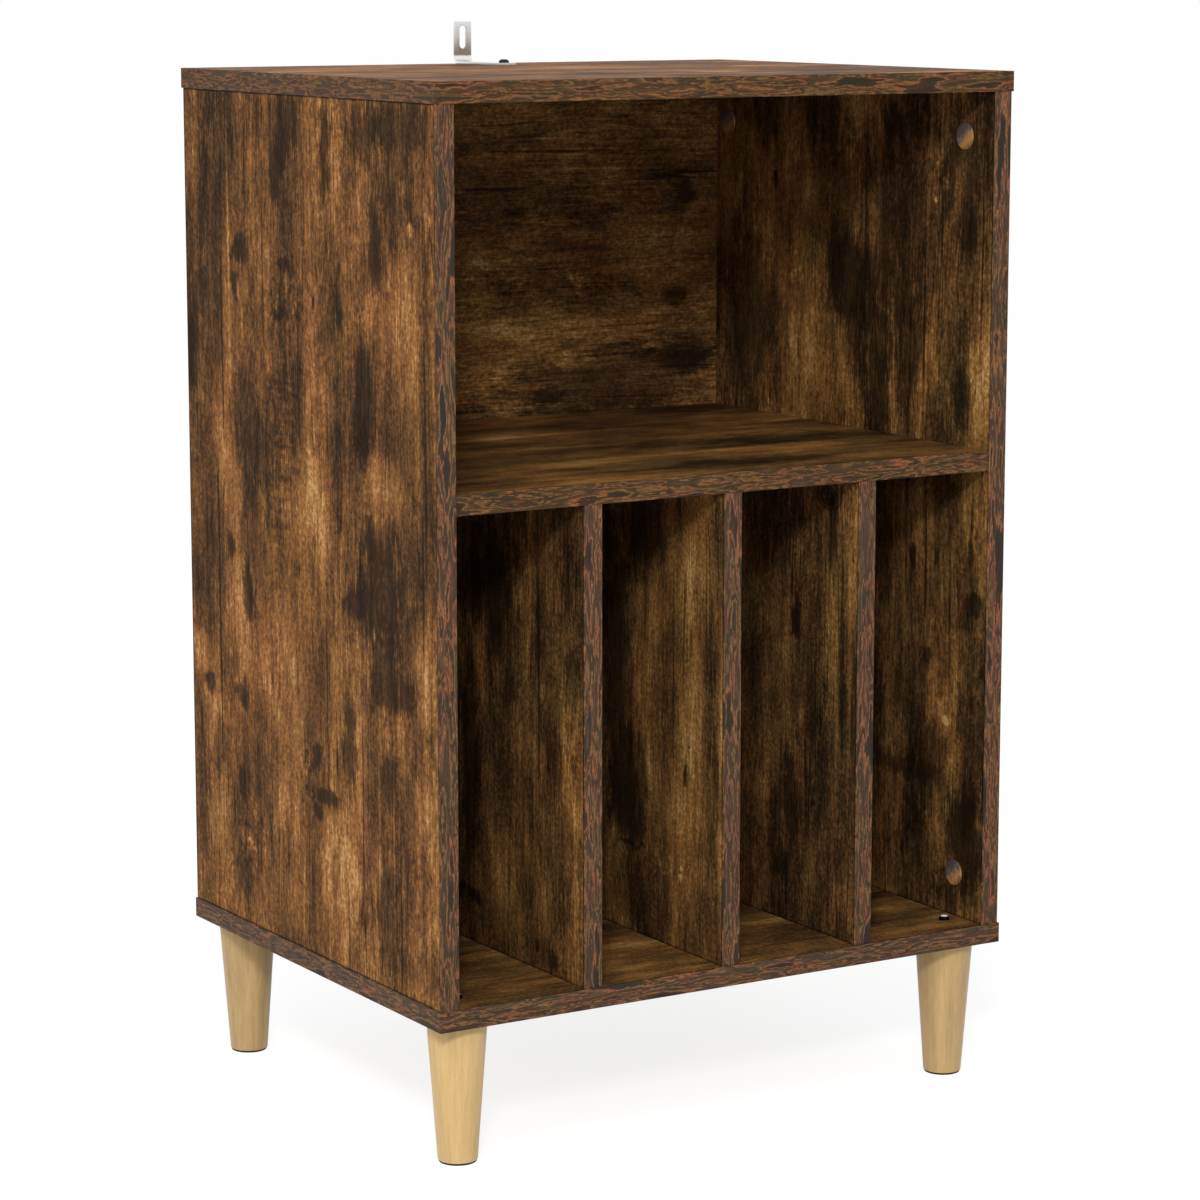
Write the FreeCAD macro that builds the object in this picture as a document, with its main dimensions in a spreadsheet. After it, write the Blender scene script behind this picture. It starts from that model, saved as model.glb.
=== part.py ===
import FreeCAD, Part
import os
import re
import Sketcher
from enum import IntEnum

# A record cabinet that carries a turntable: an open compartment over four upright record slots,
# flat-pack boards held by cam locks, dowels and screws, on four tapered legs.
# The frame has +Z up, the open front towards -Y and the floor at Z = 0, under the middle.

SHEET = "Sizes"
FULL_TURN = 360
TOLERANCE = 0.01

# Each driving dimension in millimetres, with what it measures
DIMENSIONS = (
    ("overall_width", 490, "top and bottom panels, across"),
    ("overall_depth", 395, "top and bottom panels, front to rear"),
    ("board_thickness", 15, "every decor board"),
    ("panel_reveal", 1, "top and bottom panels past the side panels, all round"),
    ("upper_clear_height", 267, "open compartment, shelf to top panel"),
    ("lower_clear_height", 350, "record slots, bottom panel to shelf"),
    ("front_setback", 2, "shelf and dividers behind the front of the top panel"),
    ("rear_gap", 0.5, "shelf and dividers in front of the back panel"),
    ("back_thickness", 3, "back panel"),
    ("back_inset", 17, "back panel in front of the rear of the top panel"),
    ("groove_depth", 5, "grooves that hold the back panel"),
    ("groove_clearance", 0.2, "back panel to its grooves, each way"),
    ("band_thickness", 0.8, "edge bands"),
    ("band_rounding", 0.4, "outer long edges of the edge bands"),
    ("cut_overrun", 2, "cuts past the face that they leave"),
    ("fit_clearance", 0.1, "round fittings in their bores, on the radius"),
    ("leg_length", 103.5, "wooden legs without their pads"),
    ("leg_top_diameter", 44, "legs under the bottom panel"),
    ("leg_foot_diameter", 28.8, "legs at the foot"),
    ("leg_foot_rounding", 0.7, "lower edge of the legs"),
    ("leg_inset", 30, "leg axes inside the edges of the bottom panel"),
    ("pad_diameter", 27.4, "floor pads"),
    ("pad_thickness", 1.5, "floor pads"),
    ("pad_rounding", 0.4, "lower edge of the floor pads"),
    ("insert_diameter", 8, "threaded inserts in the legs, outside"),
    ("insert_length", 15, "threaded inserts in the legs"),
    ("leg_bolt_diameter", 5, "leg bolts, thread"),
    ("leg_bolt_grip", 12, "leg bolts in their inserts"),
    ("leg_bolt_head_diameter", 8.4, "leg bolts, pan head"),
    ("leg_bolt_head_height", 2.9, "leg bolts, pan head"),
    ("leg_bolt_head_rounding", 1.7, "leg bolts, crown of the head"),
    ("cam_end_distance", 34, "cam centres inside the end of their board"),
    ("cam_edge_distance", 37, "cam centres inside the front and rear edges of the top panel"),
    ("cam_diameter", 15, "cam locks"),
    ("cam_floor", 2.5, "board left behind a cam lock"),
    ("cam_past_centre", 3, "bolt recess of a cam lock, past its centre"),
    ("cam_cross_span", 9, "driver cross of a cam lock, across"),
    ("cam_cross_width", 1.6, "driver cross of a cam lock, each arm"),
    ("cam_cross_depth", 2.2, "driver cross of a cam lock"),
    ("cam_bolt_thread_diameter", 5, "cam bolts, thread in the panel"),
    ("cam_bolt_thread_length", 11, "cam bolts, thread in the panel"),
    ("cam_bolt_shank_diameter", 6, "cam bolts, shank"),
    ("cam_bolt_neck_diameter", 3.4, "cam bolts, neck behind the head"),
    ("cam_bolt_neck_length", 4, "cam bolts, neck behind the head"),
    ("cam_bolt_head_diameter", 6.6, "cam bolts, head"),
    ("cam_bolt_head_length", 4, "cam bolts, head"),
    ("cap_diameter", 20, "cover caps over the cam locks"),
    ("cap_thickness", 1, "cover caps over the cam locks"),
    ("cap_rounding", 0.5, "rim of the cover caps"),
    ("dowel_diameter", 8, "wooden dowels"),
    ("dowel_length", 30, "wooden dowels"),
    ("dowel_face_depth", 10, "dowels in the face of a board"),
    ("dowel_chamfer", 1, "dowel ends"),
    ("dowel_relief", 1, "dowel bores past the dowel, in a board end"),
    ("dowel_spacing", 32, "dowels beside the cam locks"),
    ("divider_screw_inset", 69, "divider screws and dowels inside the front and rear edges"),
    ("divider_screw_shank_diameter", 7, "divider screws in the bottom panel"),
    ("divider_screw_thread_diameter", 5, "divider screws in the divider"),
    ("divider_screw_grip", 35, "divider screws in the divider"),
    ("divider_screw_head_diameter", 10, "divider screws, countersunk head"),
    ("screw_tip_length", 4, "points of the divider screws"),
    ("recess_span", 4.6, "driver cross of a screw head, across"),
    ("recess_width", 1, "driver cross of a screw head, each arm"),
    ("recess_depth", 1.5, "driver cross of a screw head"),
    ("strap_width", 15.2, "wall bracket"),
    ("strap_thickness", 2, "wall bracket"),
    ("strap_height", 33, "wall bracket, upright leg"),
    ("strap_reach", 73, "wall bracket, leg on the top panel"),
    ("strap_bend_radius", 4, "wall bracket, inside of the bend"),
    ("strap_corner_radius", 0.8, "wall bracket, corners"),
    ("strap_slot_width", 5.8, "slot for the wall screw"),
    ("strap_slot_length", 18, "slot for the wall screw, end to end"),
    ("strap_slot_inset", 3.3, "slot below the upper end of the bracket"),
    ("strap_hole_inset", 6.6, "screw hole inside the front end of the bracket"),
    ("strap_screw_diameter", 4, "bracket screw, thread"),
    ("strap_screw_length", 14, "bracket screw under its head"),
    ("strap_screw_head_diameter", 8.2, "bracket screw, pan head"),
    ("strap_screw_head_height", 2.7, "bracket screw, pan head"),
    ("strap_screw_head_rounding", 1.6, "bracket screw, crown of the head"),
)

# Places worked out from the driving dimensions.
# In an outline a leading minus puts a point on the negative side, so the rest stays positive.
INNER_HALF = "(overall_width / 2 - panel_reveal - board_thickness)"
INNER_WIDTH = f"(2 * {INNER_HALF})"
SIDE_MIDDLE = f"({INNER_HALF} + board_thickness / 2)"
SIDE_HALF_DEPTH = "(overall_depth / 2 - panel_reveal)"
INNER_FRONT = "(overall_depth / 2 - front_setback)"
BACK_REAR = "(overall_depth / 2 - back_inset)"
BACK_FRONT = f"({BACK_REAR} - back_thickness)"
GROOVE_FRONT = f"({BACK_FRONT} - groove_clearance)"
GROOVE_REAR = f"({BACK_REAR} + groove_clearance)"
BACK_TONGUE = "(groove_depth - groove_clearance)"
BOTTOM_FOOT = "(pad_thickness + leg_length)"
BOTTOM_TOP = f"({BOTTOM_FOOT} + board_thickness)"
SHELF_FOOT = f"({BOTTOM_TOP} + lower_clear_height)"
INNER_HEIGHT = "(lower_clear_height + board_thickness + upper_clear_height)"
TOP_FOOT = f"({BOTTOM_TOP} + {INNER_HEIGHT})"
TOP_TOP = f"({TOP_FOOT} + board_thickness)"
LEG_X = "(overall_width / 2 - leg_inset)"
LEG_Y = "(overall_depth / 2 - leg_inset)"
CAM_Y = "(overall_depth / 2 - cam_edge_distance)"
DOWEL_Y = f"({CAM_Y} - dowel_spacing)"
DIVIDER_FIXING_Y = "(overall_depth / 2 - divider_screw_inset)"
SHELF_CAM_X = f"({INNER_HALF} - cam_end_distance)"
CAM_DEPTH = "(board_thickness - cam_floor)"
CAM_BOLT_BORE = "(cam_bolt_head_diameter / 2 + fit_clearance)"
CAM_BOLT_THREAD_BORE = "(cam_bolt_thread_diameter / 2 + fit_clearance)"
DOWEL_BORE = "(dowel_diameter / 2 + fit_clearance)"
DOWEL_END_DEPTH = "(dowel_length - dowel_face_depth)"
STRAP_SCREW_Y = "(overall_depth / 2 - strap_reach + strap_hole_inset)"

# Which side of the middle a thing lies on, across or along
BOTH = (-1, 1)
SIDES = {"left": -1, "right": 1}
CORNERS = {"front_left": (-1, -1), "front_right": (1, -1), "rear_left": (-1, 1), "rear_right": (1, 1)}
DIVIDERS = {"left": -1, "centre": 0, "right": 1}
DIVIDER_PITCH = f"(({INNER_WIDTH} + board_thickness) / {len(DIVIDERS) + 1})"

UP = (0, 0, 1)
DOWN = (0, 0, -1)
FRONTWARD = (0, -1, 0)
REARWARD = (0, 1, 0)
LEFTWARD = (-1, 0, 0)
RIGHTWARD = (1, 0, 0)

os.makedirs("parts", exist_ok=True)
doc = FreeCAD.newDocument("RecordCabinet")
sheet = doc.addObject("Spreadsheet::Sheet", SHEET)
for row, (alias, millimetres, meaning) in enumerate(DIMENSIONS, 1):
    sheet.set(f"A{row}", meaning)
    sheet.set(f"B{row}", str(millimetres))
    sheet.setAlias(f"B{row}", alias)
doc.recompute()


# Expressions on the sheet's dimensions
def sized(text):
    """Write the sheet's name before each dimension that an expression names."""
    return re.sub(r"[a-z]+(?:_[a-z]+)+", lambda word: f"{SHEET}.{word.group()}", text)


def value(text):
    """What an expression gives now, for a first drawing or to find an edge."""
    return float(sheet.evalExpression(sized(text)))


def bind(thing, path, text):
    """Tie a property of an object to the sheet."""
    thing.setExpression(path, sized(text))


def signed(sign, text):
    """An expression on the negative or positive side, with its sign in front."""
    return f"-{text}" if sign < 0 else text


def place(thing, x, y, z, turn=None):
    """Give an object its place, tied to the sheet, and its turn."""
    if turn is not None:
        thing.Placement = FreeCAD.Placement(FreeCAD.Vector(), turn)
    for axis, text in zip("xyz", (x, y, z)):
        bind(thing, f"Placement.Base.{axis}", text)


def aimed(x_axis, z_axis):
    """The turn that lays a piece's own X and Z axes along two directions."""
    across, upright = FreeCAD.Vector(*x_axis), FreeCAD.Vector(*z_axis)
    return FreeCAD.Rotation(across, upright.cross(across), upright, "ZXY")


# Sketches
PLANES = {"x": "YZ_Plane", "y": "XZ_Plane", "z": "XY_Plane"}


class Axis(IntEnum):
    """The axes of a sketch, by the numbers that constraints know them by."""

    ACROSS = -1
    ALONG = -2


class Point(IntEnum):
    """The points of an edge, by the numbers that constraints know them by."""

    START = 1
    END = 2
    CENTRE = 3


def sketch_on(body, name, axis, level="0"):
    """A sketch square to one of the body's own axes, at a level along that axis."""
    sketch = body.newObject("Sketcher::SketchObject", name)
    plane = next(item for item in body.Origin.OriginFeatures if item.Role == PLANES[axis])
    sketch.AttachmentSupport = [(plane, "")]
    sketch.MapMode = "FlatFace"
    # The XZ plane looks towards -Y, the two others along their axis
    bind(sketch, "AttachmentOffset.Base.z", f"-({level})" if axis == "y" else level)
    return sketch


def pin(sketch, element, point, across, along):
    """Hold a point of a sketch at its place across and along."""
    origin = (Axis.ACROSS, Point.START)
    for kind, axis, text in (("DistanceX", Axis.ALONG, across), ("DistanceY", Axis.ACROSS, along)):
        if text == "0":
            sketch.addConstraint(Sketcher.Constraint("PointOnObject", element, point, axis))
            continue
        size = text.removeprefix("-")
        ends = (*origin, element, point) if size == text else (element, point, *origin)
        number = sketch.addConstraint(Sketcher.Constraint(kind, *ends, value(size)))
        bind(sketch, f"Constraints[{number}]", size)


def draw_outline(sketch, corners):
    """A closed outline of straight lines, with every corner held."""
    points = [FreeCAD.Vector(value(across), value(along), 0) for across, along in corners]
    for start, end in zip(points, points[1:] + points[:1]):
        sketch.addGeometry(Part.LineSegment(start, end))
    for number, (across, along) in enumerate(corners):
        following = (number + 1) % len(corners)
        sketch.addConstraint(
            Sketcher.Constraint("Coincident", number, Point.END, following, Point.START)
        )
        pin(sketch, number, Point.START, across, along)


def draw_circles(sketch, centres, radius):
    """Circles of one radius, with every centre held."""
    for across, along in centres:
        middle = FreeCAD.Vector(value(across), value(along), 0)
        circle = Part.Circle(middle, FreeCAD.Vector(*UP), value(radius))
        number = sketch.addGeometry(circle)
        pin(sketch, number, Point.CENTRE, across, along)
        if number == 0:
            held = sketch.addConstraint(Sketcher.Constraint("Radius", number, value(radius)))
            bind(sketch, f"Constraints[{held}]", radius)
        else:
            sketch.addConstraint(Sketcher.Constraint("Equal", 0, number))


def rectangle(left, right, low, high):
    """The corners of an upright rectangle."""
    return [(left, low), (right, low), (right, high), (left, high)]


def cross_outline(span, width):
    """The corners of a driver cross about the origin."""
    tip, arm = f"({span} / 2)", f"({width} / 2)"
    quarter = [(tip, arm), (arm, arm), (arm, tip)]
    corners = []
    for right, up in ((1, 1), (-1, 1), (-1, -1), (1, -1)):
        turn = quarter if right == up else quarter[::-1]
        corners += [(signed(right, across), signed(up, along)) for across, along in turn]
    return corners


# Solids
def new_body(name, x="0", y="0", z="0", turn=None):
    """An empty body at its place."""
    body = doc.addObject("PartDesign::Body", name)
    place(body, x, y, z, turn)
    return body


def pad(body, sketch, length):
    """Raise a sketch to its length along its plane's own direction."""
    feature = body.newObject("PartDesign::Pad", sketch.Name + "_pad")
    feature.Profile = sketch
    bind(feature, "Length", length)
    return feature


def slab(name, width, front, rear, height, x="0", z="0"):
    """A board about its own middle across, from front to rear, raised from its foot."""
    body = new_body(name, x, "0", z)
    half = f"({width} / 2)"
    outline = sketch_on(body, name + "_outline", "z")
    draw_outline(outline, rectangle(signed(-1, half), half, front, rear))
    pad(body, outline, height)
    return body


def turned(name, corners):
    """A round piece turned about its own Z axis from its (radius, height) outline."""
    body = new_body(name)
    profile = sketch_on(body, name + "_profile", "y")
    draw_outline(profile, corners)
    revolution = body.newObject("PartDesign::Revolution", name + "_turning")
    revolution.Profile = profile
    revolution.ReferenceAxis = (profile, ["V_Axis"])
    revolution.Angle = FULL_TURN
    return body


def cut(body, sketch, axis, towards, depth):
    """Cut a sketch into its body, towards the plus or minus end of the sketch's axis."""
    pocket = body.newObject("PartDesign::Pocket", sketch.Name + "_cut")
    pocket.Profile = sketch
    bind(pocket, "Length", depth)
    pocket.Reversed = (towards > 0) != (axis == "y")
    return pocket


def bore(body, name, axis, level, towards, centres, radius, depth):
    """Round holes of one size, from a level along an axis."""
    sketch = sketch_on(body, name, axis, level)
    draw_circles(sketch, centres, radius)
    return cut(body, sketch, axis, towards, depth)


def mill(body, name, axis, level, towards, corners, depth):
    """A straight-edged recess, from a level along an axis."""
    sketch = sketch_on(body, name, axis, level)
    draw_outline(sketch, corners)
    return cut(body, sketch, axis, towards, depth)


def dress(body, kind, size_name, size, chosen):
    """Round or bevel those edges of a body that a test chooses."""
    doc.recompute()
    base = body.Tip
    edges = [f"Edge{number}" for number, edge in enumerate(base.Shape.Edges, 1) if chosen(edge)]
    feature = body.newObject(kind, base.Name + "_" + size_name.lower())
    feature.Base = (base, edges)
    bind(feature, size_name, size)
    return feature


def round_off(body, radius, chosen):
    """Round the chosen edges."""
    return dress(body, "PartDesign::Fillet", "Radius", radius, chosen)


def rim_at(height, radius):
    """A test for the round edge of a turned piece at a height and radius."""
    level, reach = value(height), value(radius)

    def chosen(edge):
        box = edge.BoundBox
        flat = abs(box.ZMin - level) < TOLERANCE and abs(box.ZMax - level) < TOLERANCE
        return flat and abs(box.XMax - reach) < TOLERANCE

    return chosen


def group(name, members):
    """One node that holds several separate solids."""
    compound = doc.addObject("Part::Compound", name)
    compound.Links = members
    return compound


def repeated(name, master, seats):
    """One node of like fittings: the master once at each seat, given as x, y, z and turn."""
    members = []
    for number, (x, y, z, turn) in enumerate(seats, 1):
        link = doc.addObject("App::Link", f"{name}_{number}")
        link.LinkedObject = master
        place(link, x, y, z, turn)
        members.append(link)
    return group(name, members)


# Boards
def horizontal_panel(name, foot):
    """The top or bottom panel without its edge bands, which stand round its four edges."""
    inset = "band_thickness"
    rear = f"(overall_depth / 2 - {inset})"
    return slab(name, f"(overall_width - 2 * {inset})", signed(-1, rear), rear, "board_thickness", z=foot)


def panel_joint_bores(body, level, towards):
    """What the side panels need in the face of the top or bottom panel."""
    reach = f"({INNER_HALF} + groove_depth)"
    bolts = [(signed(side, SIDE_MIDDLE), signed(end, CAM_Y)) for side in BOTH for end in BOTH]
    dowels = [(signed(side, SIDE_MIDDLE), signed(end, DOWEL_Y)) for side in BOTH for end in BOTH]
    groove = rectangle(signed(-1, reach), reach, GROOVE_FRONT, GROOVE_REAR)
    name = body.Name
    mill(body, name + "_groove", "z", level, towards, groove, "groove_depth")
    bore(body, name + "_bolts", "z", level, towards, bolts, CAM_BOLT_THREAD_BORE,
         "(cam_bolt_thread_length + fit_clearance)")
    bore(body, name + "_dowels", "z", level, towards, dowels, DOWEL_BORE,
         "(dowel_face_depth + fit_clearance)")


def make_top_panel():
    """The panel that the turntable stands on."""
    body = horizontal_panel("top_panel", TOP_FOOT)
    panel_joint_bores(body, "0", 1)
    bore(body, "top_panel_bracket_pilot", "z", "board_thickness", -1, [("0", STRAP_SCREW_Y)],
         "(strap_screw_diameter / 2 + fit_clearance)",
         "(strap_screw_length - strap_thickness + fit_clearance)")
    return body


def divider_x(index):
    """The middle of a divider, counted from the centre one."""
    return signed(index, DIVIDER_PITCH) if index else "0"


def make_bottom_panel():
    """The floor of the record slots, which the legs carry."""
    body = horizontal_panel("bottom_panel", BOTTOM_FOOT)
    panel_joint_bores(body, "board_thickness", -1)
    legs = [(signed(side, LEG_X), signed(end, LEG_Y)) for side, end in CORNERS.values()]
    bore(body, "bottom_panel_leg_bores", "z", "0", 1, legs,
         "(leg_bolt_diameter / 2 + fit_clearance)", "(board_thickness + cut_overrun)")
    screws = [
        (divider_x(index), signed(end, DIVIDER_FIXING_Y))
        for index in DIVIDERS.values()
        for end in BOTH
    ]
    screw_bore = "(divider_screw_shank_diameter / 2 + fit_clearance)"
    bore(body, "bottom_panel_screw_bores", "z", "0", 1, screws, screw_bore,
         "(board_thickness + cut_overrun)")

    def countersunk(edge):
        box = edge.BoundBox
        return box.ZMax < TOLERANCE and abs(box.XLength - 2 * value(screw_bore)) < TOLERANCE

    dress(body, "PartDesign::Chamfer", "Size",
          "((divider_screw_head_diameter - divider_screw_shank_diameter) / 2)", countersunk)
    return body


def make_side_panel(name, side):
    """A side panel between the top and bottom panels, drilled on its inner face and both ends."""
    edge = f"({SIDE_HALF_DEPTH} - band_thickness)"
    body = slab(name + "_side_panel", "board_thickness", signed(-1, edge), edge, INNER_HEIGHT,
                x=signed(side, SIDE_MIDDLE), z=BOTTOM_TOP)
    inner_face = signed(-side, "(board_thickness / 2)")
    base = body.Name
    groove = rectangle(GROOVE_FRONT, GROOVE_REAR, "-cut_overrun", f"({INNER_HEIGHT} + cut_overrun)")
    mill(body, base + "_groove", "x", inner_face, side, groove, "groove_depth")
    heights = ("cam_end_distance", f"({INNER_HEIGHT} - cam_end_distance)")
    cams = [(signed(end, CAM_Y), height) for end in BOTH for height in heights]
    bore(body, base + "_cams", "x", inner_face, side, cams,
         "(cam_diameter / 2 + fit_clearance)", CAM_DEPTH)
    shelf_middle = "(lower_clear_height + board_thickness / 2)"
    bolts = [(signed(end, CAM_Y), shelf_middle) for end in BOTH]
    bore(body, base + "_shelf_bolts", "x", inner_face, side, bolts, CAM_BOLT_THREAD_BORE,
         "(cam_bolt_thread_length + fit_clearance)")
    dowels = [(signed(end, DOWEL_Y), shelf_middle) for end in BOTH]
    bore(body, base + "_shelf_dowels", "x", inner_face, side, dowels, DOWEL_BORE,
         "(dowel_face_depth + fit_clearance)")
    for end_name, level, towards in (("foot", "0", 1), ("head", INNER_HEIGHT, -1)):
        bore(body, f"{base}_{end_name}_bolts", "z", level, towards,
             [("0", signed(end, CAM_Y)) for end in BOTH], CAM_BOLT_BORE, "cam_end_distance")
        bore(body, f"{base}_{end_name}_dowels", "z", level, towards,
             [("0", signed(end, DOWEL_Y)) for end in BOTH], DOWEL_BORE,
             f"({DOWEL_END_DEPTH} + dowel_relief)")
    return body


def make_middle_shelf():
    """The shelf between the compartment and the slots, with its cam locks in the underside."""
    front = f"({INNER_FRONT} - band_thickness)"
    body = slab("middle_shelf", INNER_WIDTH, signed(-1, front), f"({BACK_FRONT} - rear_gap)",
                "board_thickness", z=SHELF_FOOT)
    cams = [(signed(side, SHELF_CAM_X), signed(end, CAM_Y)) for side in BOTH for end in BOTH]
    bore(body, "middle_shelf_cams", "z", "0", 1, cams, "(cam_diameter / 2 + fit_clearance)", CAM_DEPTH)
    dowels = [
        (divider_x(index), signed(end, DIVIDER_FIXING_Y))
        for index in DIVIDERS.values()
        for end in BOTH
    ]
    bore(body, "middle_shelf_divider_dowels", "z", "0", 1, dowels, DOWEL_BORE,
         "(dowel_face_depth + fit_clearance)")
    middle = "(board_thickness / 2)"
    for name, side in SIDES.items():
        end_face = signed(side, INNER_HALF)
        bore(body, f"middle_shelf_{name}_bolts", "x", end_face, -side,
             [(signed(end, CAM_Y), middle) for end in BOTH], CAM_BOLT_BORE, "cam_end_distance")
        bore(body, f"middle_shelf_{name}_dowels", "x", end_face, -side,
             [(signed(end, DOWEL_Y), middle) for end in BOTH], DOWEL_BORE,
             f"({DOWEL_END_DEPTH} + dowel_relief)")
    return body


def make_divider(name, index):
    """An upright board between two record slots, dowelled above and screwed from below."""
    front = f"({INNER_FRONT} - band_thickness)"
    body = slab(name + "_divider", "board_thickness", signed(-1, front), f"({BACK_FRONT} - rear_gap)",
                "lower_clear_height", x=divider_x(index), z=BOTTOM_TOP)
    fixings = [("0", signed(end, DIVIDER_FIXING_Y)) for end in BOTH]
    bore(body, name + "_divider_dowels", "z", "lower_clear_height", -1, fixings, DOWEL_BORE,
         f"({DOWEL_END_DEPTH} + dowel_relief)")
    bore(body, name + "_divider_screws", "z", "0", 1, fixings,
         "(divider_screw_thread_diameter / 2 + fit_clearance)", "(divider_screw_grip + fit_clearance)")
    return body


def make_back_panel():
    """The thin back panel, held in the grooves all round."""
    return slab("back_panel", f"({INNER_WIDTH} + 2 * {BACK_TONGUE})", BACK_FRONT, BACK_REAR,
                f"({INNER_HEIGHT} + 2 * {BACK_TONGUE})", z=f"({BOTTOM_TOP} - {BACK_TONGUE})")


# Edge bands
def band(name, length, x, y, z, outward, along):
    """A strip on the edge of a board, its outer long edges rounded."""
    # The strip's own Z runs along it and its own -Y faces outwards
    across = FreeCAD.Vector(*along).cross(FreeCAD.Vector(*outward))
    body = new_body(name, x, y, z, aimed(tuple(across), along))
    outline = sketch_on(body, name + "_outline", "z")
    half = "(board_thickness / 2)"
    draw_outline(outline, rectangle(signed(-1, half), half, "0", "band_thickness"))
    pad(body, outline, length)

    def outer_edge(edge):
        box = edge.BoundBox
        return box.YMax < TOLERANCE and box.XLength < TOLERANCE

    round_off(body, "band_rounding", outer_edge)
    return body


def panel_bands(name, foot):
    """The four bands of the top or bottom panel; the side ones end against the long ones."""
    half_width, half_depth = "(overall_width / 2)", "(overall_depth / 2)"
    butt = "(overall_depth / 2 - band_thickness)"
    short = "(overall_depth - 2 * band_thickness)"
    height = f"({foot} + board_thickness / 2)"
    return group(name + "_edge_bands", [
        band(name + "_front_band", "overall_width", signed(-1, half_width), signed(-1, half_depth),
             height, FRONTWARD, RIGHTWARD),
        band(name + "_rear_band", "overall_width", half_width, half_depth,
             height, REARWARD, LEFTWARD),
        band(name + "_left_band", short, signed(-1, half_width), butt,
             height, LEFTWARD, FRONTWARD),
        band(name + "_right_band", short, half_width, signed(-1, butt),
             height, RIGHTWARD, REARWARD),
    ])


def side_bands(name, side):
    """The front and rear bands of a side panel."""
    x = signed(side, SIDE_MIDDLE)
    return group(name + "_side_edge_bands", [
        band(name + "_side_front_band", INNER_HEIGHT, x, signed(-1, SIDE_HALF_DEPTH), BOTTOM_TOP,
             FRONTWARD, UP),
        band(name + "_side_rear_band", INNER_HEIGHT, x, SIDE_HALF_DEPTH, BOTTOM_TOP, REARWARD, UP),
    ])


# Legs
def make_leg(name, side, end):
    """A tapered round leg with the seat of its threaded insert in the top."""
    foot, head = "(leg_foot_diameter / 2)", "(leg_top_diameter / 2)"
    body = turned(name + "_leg", [("0", "0"), (foot, "0"), (head, "leg_length"), ("0", "leg_length")])
    round_off(body, "leg_foot_rounding", rim_at("0", foot))
    bore(body, name + "_leg_insert_seat", "z", "leg_length", -1, [("0", "0")],
         "(insert_diameter / 2 + fit_clearance)", "(insert_length + fit_clearance)")
    place(body, signed(side, LEG_X), signed(end, LEG_Y), "pad_thickness")
    return body


def make_pad(name, side, end):
    """The thin pad under a leg, which the cabinet stands on."""
    radius = "(pad_diameter / 2)"
    body = turned(name + "_foot_pad", rectangle("0", radius, "0", "pad_thickness"))
    round_off(body, "pad_rounding", rim_at("0", radius))
    place(body, signed(side, LEG_X), signed(end, LEG_Y), "0")
    return body


# Fittings
def cut_driver_cross(body, level, towards, span, width, depth):
    """The cross that a screwdriver turns."""
    mill(body, body.Name + "_cross", "z", level, towards, cross_outline(span, width), depth)


def pan_head_screw(name, thread, shank, head, height, crown):
    """A screw with a rounded head above its seat at Z = 0 and its thread below."""
    thread_radius, head_radius = f"({thread} / 2)", f"({head} / 2)"
    body = turned(name, [
        ("0", signed(-1, shank)), (thread_radius, signed(-1, shank)), (thread_radius, "0"),
        (head_radius, "0"), (head_radius, height), ("0", height),
    ])
    round_off(body, crown, rim_at(height, head_radius))
    cut_driver_cross(body, height, -1, "recess_span", "recess_width", "recess_depth")
    return body


def cam_lock_master():
    """A cam lock with its face at Z = 0, entered by its bolt from +X."""
    radius = "(cam_diameter / 2)"
    depth = f"-({CAM_DEPTH} - fit_clearance)"
    body = turned("cam_lock", rectangle("0", radius, depth, "0"))
    bore(body, "cam_lock_bolt_recess", "x", "-cam_past_centre", 1,
         [("0", "-(board_thickness / 2)")], CAM_BOLT_BORE,
         f"({radius} + cam_past_centre + cut_overrun)")
    cut_driver_cross(body, "0", -1, "cam_cross_span", "cam_cross_width", "cam_cross_depth")
    return body


def cam_bolt_master():
    """A cam bolt with its thread below the panel face at Z = 0 and its head above."""
    thread, shank = "(cam_bolt_thread_diameter / 2)", "(cam_bolt_shank_diameter / 2)"
    neck, head = "(cam_bolt_neck_diameter / 2)", "(cam_bolt_head_diameter / 2)"
    head_end = "(cam_end_distance + cam_bolt_head_length / 2)"
    head_start = "(cam_end_distance - cam_bolt_head_length / 2)"
    neck_start = f"({head_start} - cam_bolt_neck_length)"
    thread_end = "-cam_bolt_thread_length"
    return turned("cam_bolt", [
        ("0", thread_end), (thread, thread_end), (thread, "0"), (shank, "0"),
        (shank, neck_start), (neck, neck_start), (neck, head_start), (head, head_start),
        (head, head_end), ("0", head_end),
    ])


def dowel_master():
    """A dowel with its joint at Z = 0: down in a board's face, up in a board's end."""
    radius, tip = "(dowel_diameter / 2)", "(dowel_diameter / 2 - dowel_chamfer)"
    return turned("dowel", [
        ("0", "-dowel_face_depth"), (tip, "-dowel_face_depth"),
        (radius, "-(dowel_face_depth - dowel_chamfer)"), (radius, f"({DOWEL_END_DEPTH} - dowel_chamfer)"),
        (tip, DOWEL_END_DEPTH), ("0", DOWEL_END_DEPTH),
    ])


def divider_screw_master():
    """A countersunk screw that enters the underside of the bottom panel at Z = 0."""
    head, shank = "(divider_screw_head_diameter / 2)", "(divider_screw_shank_diameter / 2)"
    thread = "(divider_screw_thread_diameter / 2)"
    end = "(board_thickness + divider_screw_grip)"
    body = turned("divider_screw", [
        ("0", "0"), (head, "0"), (shank, f"({head} - {shank})"), (shank, "board_thickness"),
        (thread, "board_thickness"), (thread, f"({end} - screw_tip_length)"), ("0", end),
    ])
    cut_driver_cross(body, "0", 1, "recess_span", "recess_width", "recess_depth")
    return body


def cover_cap_master():
    """A thin cap on a board's face at Z = 0."""
    radius = "(cap_diameter / 2)"
    body = turned("cover_cap", rectangle("0", radius, "0", "cap_thickness"))
    round_off(body, "cap_rounding", rim_at("cap_thickness", radius))
    return body


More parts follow.
